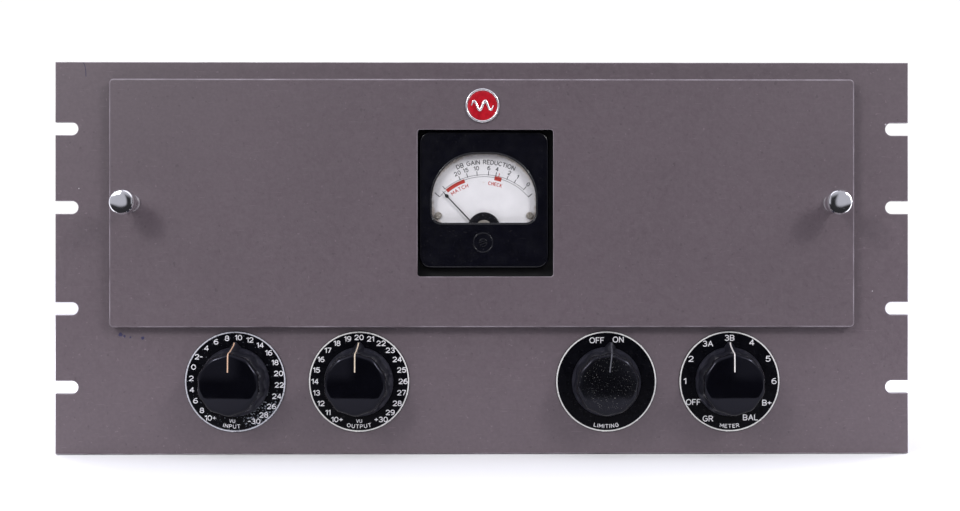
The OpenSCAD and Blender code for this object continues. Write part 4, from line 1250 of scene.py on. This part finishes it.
def build_hub():
    low, high = box("meter_hub_cover")
    middle = (low + high) / 2
    hub = Piece("meter_hub_dome", front(METER.x, low.y + 0.7, middle.z))
    dome = lathe([(0, 0), (9.2, 0), (9.2, 0.35, 0.2), (7.8, 0.58), (4, 0.62), (0, 0.62)], 72)
    hub.add(dome, meter_black, at(0, 1.7))
    hub.add(lathe([(0, 0.5), (4.6, 0.5), (4.6, 0.68, 0.05), (0, 0.7)], 48), nickel, at(0, 1.9, 0))
    for sx in (-1, 1):
        hub.add(pin(0.6, -2.0, 0.2, 16), nickel, at(sx * 8, PIVOT_Z - middle.z))
    hub.done("frame", "bakelite", ["meter_hub_cover"])


def build_zero_screw():
    zero = box("meter_zero_screw")
    place = (zero[0] + zero[1]) / 2
    base = zero[1].y
    depth = base - zero[0].y
    screw = Piece("meter_zero_adjuster", front(place.x, base, place.z))
    root = depth * 0.72
    collar = [(0, 0), (3.2, 0), (3.2, 0.55, 0.1), (2.4, 0.55), (2.4, root), (0, root)]
    screw.add(lathe(collar, 48), meter_black)
    for shell in slotted_head(2.4, 1.5, 0.7)[1:]:
        screw.add(shell, meter_black, at(0, 0, depth - 1.5, 20))
    screw.done("zero_adjuster", "bakelite", ["meter_zero_screw"])


# ---- Rear deck ----

BRACKET_FACE = 219.1
BRACKET_SHEET = 3.2
BRACKET_SCREWS = ((16, 40), (50, 40), (16, 180), (50, 180))


def hex_nut(across, height, bore):
    return slab(polygon(6, across), [circle(bore, 24)], 0, height, 0.35, 0.1)


def build_chassis():
    refined("chassis", deck_steel, 0.7)
    for side in ("left", "right"):
        refined("side_bracket_" + side, cover_paint, 0.5)
    nuts = Piece("chassis_fixings")
    for x, z in STUDS:
        nuts.add(hex_nut(8.7, 3.2, 2.4), steel, rear(x, 1.6, z, 17 * (z % 5)))
    nuts.done("frame", "steel", ["chassis_nuts"])
    screws = Piece("bracket_fixings")
    for side in (-1, 1):
        outward = Matrix.Rotation(side * math.pi / 2, 4, "Y")
        for y, z in BRACKET_SCREWS:
            place = Matrix.Translation((side * BRACKET_FACE, y, z)) @ outward
            turned = place @ at(0, 0, 0, y * 3 + z)
            screws.add(slotted_head(4.5, 2.6, 1.2), brass, turned @ at(0, 0, BRACKET_SHEET))
            screws.add(pin(2.4, -7, BRACKET_SHEET + 0.1), brass, place)
            screws.add(hex_nut(8.7, 3.2, 2.42), steel, turned @ at(0, 0, -4.8))
    screws.done("frame", "brass", ["bracket_screws"])


DECK = 66.7
SOCKET_FACE = DECK + 2.4
METAL_TUBES = [(-185, 186), (-145, 186), (-105, 186), (-65, 186), (-25, 186), (-185, 142), (-145, 142)]
OUTPUT_TUBES = [(20, 186), (65, 186)]
REGULATORS = [(-98, 142), (-50, 142)]
RECTIFIER = (150, 166)
CAPACITORS = [(-4, 140), (41, 140), (86, 140)]
POWER_TRANSFORMER = (150, 72)
CHOKE = (60, 62)
INPUT_TRANSFORMER = (-140, 66)
TERMINALS_Z = 17
TERMINALS = [(-100, 10), (84, 3)]  # each strip's middle and number of ways
FUSE_X = 24
LAMINATION = 2


def build_sockets():
    sockets = Piece("tube_socket_set")
    wafer = [
        (0, -8), (14, -8, 0.5), (14, 0), (17, 0), (17, 1.6, 0.3), (14.6, 1.6), (14.6, 2.4, 0.2), (0, 2.4),
    ]
    body = lathe(wafer, 64)
    stem = lathe([(0, 0), (2.1, 0), (2.1, 2.0, 0.3), (1.4, 2.5, 0.4), (0, 2.6)], 24)
    tag = lathe([(0, -13), (0.6, -13, 0.2), (1, -11, 0.4), (1, -7), (0, -7)], 12)
    for x, z in METAL_TUBES + OUTPUT_TUBES + REGULATORS + [RECTIFIER]:
        place = rear(x, DECK, z)
        sockets.add(body, socket_brown, place)
        for side in (-1, 1):
            hole = moved(circle(1.3, 20), 0, side * 19.2)
            ear = slab(moved(rounded_rect(10, 8, 3), 0, side * 17.5), [hole], 0, 1.6, 0.2)
            sockets.add(ear, steel, place)
            sockets.add(stem, brass, place @ at(0, side * 19.2))
        for i in range(8):
            turn = math.radians(i * 45 + 22.5)
            sockets.add(tag, solder, place @ at(8.5 * math.cos(turn), 8.5 * math.sin(turn)))
    sockets.done("frame", "phenolic", ["tube_sockets"])


def metal_tube(radius, height):
    """Base wafer and steel shell of a metal valve."""
    base = lathe([(0, 0), (16.3, 0, 0.4), (16.3, 7, 1.2), (13.2, 8.6, 0.5), (0, 8.6)], 64)
    crown = height - 1.5
    shell = lathe([
        (0, 8.2), (radius + 1.7, 8.2, 0.3), (radius + 1.7, 9.6, 0.8), (radius, 10.6, 1),
        (radius, crown - 4, 3.4), (radius - 3.2, crown - 0.6, 2), (5, crown, 0.4),
        (5, height - 0.2, 0.5), (4.4, height, 0.3), (0, height),
    ], 64)
    return base, shell


def build_tubes():
    for name, node, places, radius, height in (
        ("amplifier_tube_set", "amplifier_tubes", METAL_TUBES, 12.8, 61),
        ("output_tube_set", "output_tubes", OUTPUT_TUBES, 14.2, 71.5),
    ):
        piece = Piece(name)
        base, shell = metal_tube(radius, height)
        for i, (x, z) in enumerate(places):
            place = rear(x, SOCKET_FACE, z, 40 * i)
            piece.add(base, bakelite, place).add(shell, tube_black, place)
        piece.done("frame", "tube_black", [node])


def bulb_path(r, h):
    """Outline of a glass envelope, from its neck to its domed top."""
    s = r * 0.55
    return [(0, 0), (13.4, 0), (13.4, 3), (r, 7, 4), (r, h - s, s * 1.4), (r - s, h, s * 0.9), (0, h)]


def electrodes(piece, r, h, up):
    """Mica spacers, two plates with their rods, and the getter with its film."""
    top = h * 0.72
    for level in (9, top):
        piece.add(slab(rounded_rect(r * 1.3, r * 0.75, 4), (), level, level + 0.4, 0.1), mica, up)
    w, d = r * 0.56, r * 0.6
    for sx in (-1, 1):
        inner = rounded_rect(w - 1, d - 1, 1.5)
        plate = slab(rounded_rect(w, d, 2), [inner], 10, top - 0.6, 0.05, 0.05)
        piece.add(plate, tube_black, up @ at(sx * r * 0.33, 0))
        for sy in (1, -1):
            piece.add(pin(0.5, 0.5, top + 2, 12), steel, up @ at(sx * r * 0.33, sy * r * 0.33))
    getter = [(x, y, h - 5) for x, y in circle(r * 0.3, 24)]
    piece.add(tube(getter, 0.5, 8, True), steel, up)
    film = [
        (0, h - 0.9), (r * 0.35, h - 1), (r * 0.6, h - 2.4),
        (r * 0.58, h - 2.8), (r * 0.33, h - 1.4), (0, h - 1.3),
    ]
    piece.add(lathe(film, 40), getter_film, up)


def build_glass_tubes():
    base_h = 20
    base = lathe([(0, 0), (16.3, 0, 0.5), (16.3, base_h - 1, 0.8), (14.6, base_h, 0.4), (0, base_h)], 72)
    for name, node, places, r, h in (
        ("regulator_tube", "regulator_tubes", REGULATORS, 18.5, 66),
        ("rectifier_tube", "rectifier_tube", [RECTIFIER], 15, 58),
    ):
        bases = Piece(name + "_bases")
        bulbs = Piece(name + "_bulbs")
        inside = Piece(name + "_electrodes")
        for x, z in places:
            place = rear(x, SOCKET_FACE, z)
            up = place @ at(0, 0, base_h)
            bases.add(base, bakelite, place)
            bulbs.add(lathe(bulb_path(r, h), 72), bulb_glass, up)
            electrodes(inside, r, h, up)
        bases.done("frame", "bakelite", [node])
        bulbs.done("frame", "tube_glass")
        inside.done("frame", "steel")


def build_capacitors():
    piece = Piece("filter_capacitor_cans")
    wafer = lathe([(0, -6), (9, -6, 0.6), (9, 0), (19.5, 0), (19.5, 2.2, 0.3), (0, 2.2)], 72)
    can = lathe([
        (0, 2), (18.6, 2, 0.4), (18.9, 3.4, 0.5), (17.5, 5.2, 0.6), (17.1, 6.2, 0.6), (17.5, 7.4, 0.6),
        (17.5, 72.4, 1.6), (15.9, 74, 0.8), (15.2, 73.3, 0.4), (3.2, 73.3), (2.6, 73.8, 0.4), (0, 73.9),
    ], 96)
    for x, z in CAPACITORS:
        place = rear(x, DECK, z)
        piece.add(wafer, phenolic, place).add(can, alloy, place)
    piece.done("frame", "aluminium", ["filter_capacitors"])


def core(piece, w, h, count, shrink, low, place, windows=(), corner=0.6, step=30, edge=0.12):
    """A stack of core sheets; every other one is smaller by shrink."""
    hole_edge = edge if windows else 0
    for i in range(count):
        less = shrink * (i % 2)
        base = low + i * LAMINATION
        sheet = slab(
            rounded_rect(w - less, h - less, corner, step), windows,
            base, base + LAMINATION - 0.02, edge, hole_edge, edge, 1,
        )
        piece.add(sheet, laminations, place)


def build_power_transformer():
    piece = Piece("power_transformer_body")
    place = rear(POWER_TRANSFORMER[0], DECK, POWER_TRANSFORMER[1])
    fixings = [(sx * 41.5, sz * 37.5) for sx, sz in CORNERS]
    holes = [moved(circle(2.4, 24), x, y) for x, y in fixings]
    piece.add(slab(rounded_rect(92, 84, 5), holes, 0, 1.6, 0.4), core_black, place)
    lower = slab(rounded_rect(76, 66, 9), (), 1.5, 34.7, 2.0, 0, 1.5, 5)
    piece.add(lower, core_black, place)
    upper = slab(rounded_rect(76, 66, 9), (), 64.5, 97.6, 7.5, 0, 0, 6)
    piece.add(upper, core_black, place)
    for low in (34.6, 62.6):
        piece.add(slab(rounded_rect(83, 71, 4), (), low, low + 2, 0.5, 0, 0.5), core_black, place)
    core(piece, 84, 72, 13, 0.25, 36.6, place)
    for (sx, sz), (x, y) in zip(CORNERS, fixings):
        corner = place @ at(sx * 38.5, sz * 32.5)
        piece.add(hex_nut(6, 2.6, 1.6), steel, corner @ at(0, 0, 64.6, 11 * sz + 5))
        piece.add(threaded_stud(1.58, 3.2), steel, corner @ at(0, 0, 64.5))
        piece.add(rivet(3.6), steel, place @ at(x, y, 1.2))
    piece.done("frame", "core_black", ["power_transformer"])


def build_choke():
    place = rear(CHOKE[0], DECK, CHOKE[1])
    piece = Piece("filter_choke_body")
    windows = [moved(rounded_rect(10, 26, 0.4, 45), side * 14, 0) for side in (-1, 1)]
    core(piece, 56, 46, 10, 0.2, 10, place, windows, 0.5, 45, 0.1)
    for side in (-1, 1):
        piece.add(block((9.4, 25.4, 34), 1.6, 3.2), phenolic, place @ at(side * 14, 0))
    holes = [moved(circle(2.4, 24), side * 35, 0) for side in (-1, 1)]
    piece.add(slab(rounded_rect(80, 20, 3), holes, 0, 1.6, 0.3), steel, place)
    piece.add(slab(rounded_rect(59.6, 20, 0.8), (), 30, 31.6, 0.4), steel, place)
    for side in (-1, 1):
        piece.add(block((1.6, 20, 30.8), 0.3, 0.4), steel, place @ at(side * 29, 0))
        piece.add(rivet(3.8), brass, place @ at(side * 35, 0, 1.4))
    piece.done("frame", "core_black", ["filter_choke"])


def build_cans():
    for name, node, place_xz, w, h, d in (
        ("output_transformer_can", "output_transformer", (-12, 66), 60, 68, 84),
        ("interstage_transformer_can", "interstage_transformer", (-80, 66), 46, 52, 64),
    ):
        place = rear(place_xz[0], DECK, place_xz[1])
        piece = Piece(name)
        piece.add(slab(rounded_rect(w, h, 8), (), 0, d, 2.2, 0, 0.3, 5), can_grey, place)
        piece.add(slab(rounded_rect(w - 6, h - 6, 6), (), d - 0.4, d + 0.9, 0.4), can_grey, place)
        bead = [Vector((px, py, 5)) for px, py in rounded_rect(w - 0.3, h - 0.3, 8)]
        piece.add(tube(bead, 0.35, 6, True), can_grey, place)
        for sx, sz in CORNERS:
            screw = at(sx * (w / 2 - 8), sz * (h / 2 - 8), d + 0.6, 30 * sx + 50 * sz)
            piece.add(slotted_head(2.2, 0.6, 0.5), steel, place @ screw)
        piece.done("frame", "can_grey", [node])


def build_input_can():
    place = rear(INPUT_TRANSFORMER[0], DECK, INPUT_TRANSFORMER[1])
    piece = Piece("input_transformer_can")
    profile = [
        (0, 0), (26, 0), (26, 1.6, 0.4), (22.4, 1.6, 0.3), (22, 2.4), (22, 54.5, 2.6),
        (19.5, 57.6, 1.4), (17, 57.2, 0.6), (3, 57.2), (2.4, 58.3, 0.4), (0, 58.4),
    ]
    piece.add(lathe(profile, 96), mu_plate, place)
    for turn in (45, 165, 285):
        piece.add(slotted_head(1.7, 1.4, 0.5), brass, place @ at(0, 0, 1.5, turn) @ at(23.9, 0))
    piece.done("frame", "mu_metal", ["input_transformer"])


def build_terminals():
    piece = Piece("terminal_strips")
    pitch = 12.7
    for x, ways in TERMINALS:
        w = ways * pitch + 10
        place = rear(x, DECK, TERMINALS_Z)
        holes = [moved(circle(1.9, 20), s * (w / 2 - 2.4), 0) for s in (-1, 1)]
        piece.add(slab(rounded_rect(w, 20, 1), holes, 0, 8, 0.5, 0.2), bakelite, place)
        for i in range(ways + 1):
            piece.add(block((2, 20, 7.2), 0.4, 6.8), bakelite, place @ at((i - ways / 2) * pitch, 0))
        for i in range(ways):
            for up in (-1, 1):
                spot = place @ at((i + 0.5 - ways / 2) * pitch, up * 5.2, 8, 37 * i + 20 * up)
                piece.add(slotted_head(3, 2.4, 1), brass, spot)
            tab = slab(rounded_rect(6.4, 16, 1), (), 7.8, 8.5, 0.15)
            piece.add(tab, brass, place @ at((i + 0.5 - ways / 2) * pitch, 0))
    piece.done("frame", "bakelite", ["terminal_blocks"])


def build_fuse():
    fuse = Piece("fuse_post")

    def grip(angle, radius, height):
        return -0.3 * abs(math.sin(angle * 12)) if 4 < height < 14 and radius > 7 else 0.0

    place = rear(FUSE_X, DECK, TERMINALS_Z)
    fuse.add(lathe([(0, -24), (6, -24, 0.4), (6, 3), (0, 3)], 40), bakelite, place)
    fuse.add(lathe([(0, 0), (9, 0, 0.2), (9, 3, 0.5), (0, 3)], 60), bakelite, place)
    cap = [(0, 2.9), (7.6, 2.9, 0.2), (7.6, 14.4, 0.7), (6.6, 15, 0.4), (0, 15)]
    fuse.add(lathe(cap, 144, ripple=grip), bakelite, place)
    fuse.done("frame", "bakelite", ["fuse_holder"])


# ---- Wiring side ----

BOARDS = [(-196, -44), (48, 196)]
BOARD_Y = 46.0
BOARD_Z = 105
BOARD_T = 2.4
LUG_PITCH = 12
LOOM_Y = 57


def body_color(index):
    """A muted body colour for a small part."""
    return [(0.18, 0.09, 0.04), (0.1, 0.06, 0.05), (0.3, 0.2, 0.1), (0.09, 0.1, 0.12)][index % 4]


def build_boards():
    boards = Piece("terminal_boards")
    eyelet = lathe([(0.7, 2.2), (1.7, 2.2), (1.7, 2.7, 0.2), (0.7, 2.9)], 16, True)
    pillar = lathe([(0, 0), (3, 0, 0.3), (3, 16.7, 0.3), (0, 16.7)], 32)
    for left, right in BOARDS:
        middle = (left + right) / 2
        eyelets = []
        for i in range(1, int((right - left) / LUG_PITCH)):
            eyelets += [(left + 6 + i * LUG_PITCH - middle, s * 16) for s in (-1, 1)]
        place = front(middle, BOARD_Y + BOARD_T, BOARD_Z)
        holes = [moved(circle(1.1, 12), x, y) for x, y in eyelets]
        boards.add(slab(rounded_rect(right - left, 38, 1), holes, 0, BOARD_T, 0.2, 0.1), phenolic, place)
        for x, y in eyelets:
            boards.add(eyelet, solder, place @ at(x, y))
        for x in (left + 8, right - 8):
            for z in (92, 118):
                boards.add(pillar, brass, rear(x, BOARD_Y + BOARD_T, z))
                boards.add(slotted_head(2.8, 1.6, 0.7), brass, front(x, BOARD_Y, z, x % 90))
    boards.done("frame", "phenolic", ["component_boards"])


def build_components():
    """Resistors and waxed capacitors across the boards' lugs."""
    resistors = [moulded("resistor_body_%d" % i, body_color(i), 0.3, 0.45, 0.1) for i in range(3)]
    wax = fibre("paper_capacitor_wax", (0.42, 0.28, 0.1))
    band_colors = [(0.5, 0.05, 0.02), (0.55, 0.4, 0.03), (0.03, 0.15, 0.05), (0.4, 0.35, 0.3)]
    bands = [inlay("band_%d" % i, c) for i, c in enumerate(band_colors)]
    rng = random.Random(3)
    piece = Piece("board_parts")
    for left, right in BOARDS:
        for i in range(1, int((right - left) / LUG_PITCH)):
            big = i % 3 == 0
            r, half = (4.6, 12) if big else (2.6, 7)
            place = Matrix.Translation((left + 6 + i * LUG_PITCH, BOARD_Y - r, BOARD_Z))
            material = wax if big else resistors[rng.randrange(3)]
            body = lathe([(0, -half), (r, -half, 0.8), (r, half, 0.8), (0, half)], 32)
            piece.add(body, material, place)
            for k in range(0 if big else 3):
                low = -half + 2 + k * 2.2
                inner, outer = r - 0.3, r + 0.03
                ring = lathe([(inner, low), (outer, low), (outer, low + 1), (inner, low + 1)], 32, True)
                piece.add(ring, bands[rng.randrange(4)], place)
            lead = [(0, 0, half - 1), (0, 0, 14), (0, 0.4, 15.3), (0, r - 0.6, 16), (0, r + 0.4, 16)]
            piece.add(tube(lead, 0.35, 8), solder, place)
            piece.add(tube([(x, y, -z) for x, y, z in lead], 0.35, 8), solder, place)
    piece.done("frame", "resistor", ["board_components"])


def build_harness():
    """Bundles of cloth-covered wire, laced together."""
    colors = [
        (0.35, 0.24, 0.08), (0.25, 0.03, 0.02), (0.03, 0.09, 0.03), (0.3, 0.28, 0.24), (0.02, 0.03, 0.1),
    ]
    cloth = [lacing("wire_cloth_%d" % i, c) for i, c in enumerate(colors)]
    twine = lacing("lacing_twine", (0.45, 0.38, 0.26))
    rng = random.Random(11)
    piece = Piece("wire_looms")
    main_z, upper_z, control_z = 76, 164, 44
    looms = [(-200, main_z, 200, main_z, 4.0), (-165, upper_z, 116, upper_z, 3.0)]
    looms += [(x, main_z, x, upper_z, 3.0) for x in (-165, 116)]
    looms += [(p.x, control_z, p.x, main_z, 3.0) for p in dial_places]
    up = Vector((0, 1, 0))
    for x0, z0, x1, z1, r in looms:
        a, b = Vector((x0, LOOM_Y, z0)), Vector((x1, LOOM_Y, z1))
        side = (b - a).normalized().cross(up).normalized()
        wire_r = r * 0.3
        steps = max(8, int((b - a).length / 9))
        for k in range(7):
            angle = math.tau * k / 6
            reach = 0 if k == 6 else r - wire_r
            points = []
            for i in range(steps + 1):
                turn = angle + 0.27 * math.sin(i * 0.23 + k) + i * 0.05
                offset = (side * math.cos(turn) + up * math.sin(turn)) * reach
                points.append(a.lerp(b, i / steps) + offset)
            piece.add(tube(points, wire_r, 7), cloth[rng.randrange(5)])
        ties = int((b - a).length / 22)
        for i in range(ties):
            middle = a.lerp(b, (i + 0.5) / ties)
            turns = [math.tau * k / 20 for k in range(20)]
            loop = [middle + (side * math.cos(t) + up * math.sin(t)) * (r + 0.15) for t in turns]
            piece.add(tube(loop, 0.35, 6, True), twine)
    piece.done("frame", "harness", ["wiring_harness"])


# ---- Controls behind the panel ----

def dress(node, material):
    """Gives a CAD node whose shape is right its finish."""
    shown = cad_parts[node]
    if not shown.material_slots:
        shown.data.materials.append(material)
    for slot in shown.material_slots:
        slot.material = material


def build_controls():
    for name in ("input", "output"):
        refined(name + "_attenuator", steel, 0.25)
    for name in ("limiting", "selector"):
        refined(
            name + "_switch", [steel, phenolic], 0.12,
            choose=lambda c: 1 if 23.9 < c.y < 25.7 or 29.9 < c.y < 31.7 else 0,
        )
    for name in ("input", "output", "limiting", "selector"):
        dress(name + "_shaft", brass)
    for side in ("left", "right"):
        dress("balance_shaft_" + side, brass)
    refined("bushing_nuts", chrome, 0.3)
    refined("balance_controls", steel, 0.3)
    # The bracket is black partly as painted shade in the gap round the meter
    refined("meter_bracket", gap_shade_black, 0.3)
    refined("meter_nuts", brass, 0.2)
    refined("meter_movement", steel, 0.3)
    refined("thumbscrew_inserts", steel, 0.3)


build_panel()
build_cover()
build_badge()
build_thumbscrew("left", "thumb_left")
build_thumbscrew("right", "thumb_right")
for dial in DIALS:
    build_dial(dial)
build_knob("input", "input_control", (0.62, 0.4, 0.27), knob_black)
build_knob("output", "output_control", (0.62, 0.52, 0.4), knob_black)
build_knob("limiting", "limiting_control", (0.07, 0.07, 0.085), dusty_knob)
build_knob("selector", "selector_control", (0.7, 0.66, 0.64), knob_black)
build_meter_case()
build_meter_window()
build_scale()
build_needle()
build_hub()
build_zero_screw()
build_chassis()
build_sockets()
build_tubes()
build_glass_tubes()
build_capacitors()
build_power_transformer()
build_choke()
build_cans()
build_input_can()
build_terminals()
build_fuse()
build_boards()
build_components()
build_harness()
build_controls()


# ---- Stage, light and camera ----

CEILING = 0.75
HAZE = 0.5
TABLE_FRONT = -0.234
CAMERA_PLACE = (0.0245, -0.95, 0.117)
CAMERA_TURN = -0.6
MIDDLE = (0, 0, 0.11)
# Name, place, size and power in watts
LIGHTS = [
    ("softbox_left", (-0.68, -0.97, 0.68), (0.55, 0.6), 3.3),
    ("softbox_left_core", (-0.67, -0.95, 0.7), (0.14, 0.2), 3.2),
    ("softbox_right", (0.8, -0.92, 0.74), (0.45, 0.55), 3.6),
    ("softbox_right_core", (0.78, -0.9, 0.74), (0.12, 0.17), 3.2),
    ("softbox_rear", (-0.7, 1.3, 1.1), (0.9, 0.7), 10),
    ("softbox_rear_right", (1.2, 0.9, 0.6), (0.5, 0.9), 6),
]


def build_stage():
    mesh = bpy.data.meshes.new("studio_floor")
    reach, level = 9.0, -0.0004
    corners = [(-reach, TABLE_FRONT), (reach, TABLE_FRONT), (reach, reach), (-reach, reach)]
    mesh.from_pydata([(x, y, level) for x, y in corners], [], [(0, 1, 2, 3)])
    floor = bpy.data.objects.new("studio_floor", mesh)
    bpy.context.scene.collection.objects.link(floor)
    f = Finish("studio_floor_white", (0.93, 0.93, 0.93), 0.6)
    f.tone(900, 0.99, 1.01)
    mesh.materials.append(f.end())


def area_light(name, place, size, power):
    """A soft light aimed at the middle of the front."""
    data = bpy.data.lights.new(name, "AREA")
    data.shape = "RECTANGLE"
    data.size, data.size_y = size
    data.energy = power
    light = bpy.data.objects.new(name, data)
    bpy.context.scene.collection.objects.link(light)
    light.location = place
    light.rotation_mode = "QUATERNION"
    light.rotation_quaternion = (Vector(MIDDLE) - Vector(place)).to_track_quat("-Z", "Y")
    light.visible_camera = False


def build_world():
    """White for the camera; for the object, a bright ceiling, dim sides and a dark room in front."""
    world = bpy.data.worlds.new("studio_world")
    bpy.context.scene.world = world
    world.use_nodes = True
    nodes, links = world.node_tree.nodes, world.node_tree.links
    nodes.clear()

    def made(kind, inputs=(), **settings):
        node = nodes.new("ShaderNode" + kind)
        for key, value in settings.items():
            setattr(node, key, value)
        for key, value in dict(inputs).items():
            if isinstance(value, bpy.types.NodeSocket):
                links.new(value, node.inputs[key])
            else:
                node.inputs[key].default_value = value
        return node.outputs

    def ramp(value, start, end, top):
        limits = {"Value": value, "From Min": start, "From Max": end, "To Max": top}
        return made("MapRange", limits, interpolation_type="SMOOTHSTEP")[0]

    x, y, z = made("SeparateXYZ", {0: made("TexCoord")["Generated"]})
    across = made("Math", {0: x}, operation="ABSOLUTE")[0]

    def combined(a, b, operation="ADD"):
        return made("Math", {0: a, 1: b}, operation=operation)[0]

    wings = combined(ramp(z, -0.08, 0.0, HAZE), ramp(across, 0.08, 0.17, 1.0), "MULTIPLY")
    haze = combined(ramp(z, 0.12, 0.32, HAZE), wings, "MAXIMUM")
    ceiling = combined(haze, ramp(z, 0.3, 0.8, CEILING))
    round_about = combined(ramp(across, 0.45, 0.95, 0.25), ramp(y, 0.0, 0.7, 0.45))
    level = combined(combined(ceiling, round_about), 0.03)
    seen = made("Background", {"Color": (1, 1, 1, 1), "Strength": 1.05})[0]
    lit = made("Background", {"Color": (0.9, 0.9, 1.0, 1), "Strength": level})[0]
    camera_ray = made("LightPath")["Is Camera Ray"]
    mixed = made("MixShader", {0: camera_ray, 1: lit, 2: seen})[0]
    made("OutputWorld", {0: mixed})


def build_camera():
    data = bpy.data.cameras.new("studio_camera")
    data.sensor_width = 36.0
    data.lens = 62.6
    data.shift_x = -0.0662
    data.shift_y = -0.0089
    data.clip_end = 50
    camera = bpy.data.objects.new("studio_camera", data)
    bpy.context.scene.collection.objects.link(camera)
    camera.location = CAMERA_PLACE
    camera.rotation_euler = (math.radians(90), 0, math.radians(CAMERA_TURN))
    bpy.context.scene.camera = camera


build_stage()
build_world()
build_camera()
for light in LIGHTS:
    area_light(*light)
bpy.context.scene.view_settings.view_transform = "Standard"
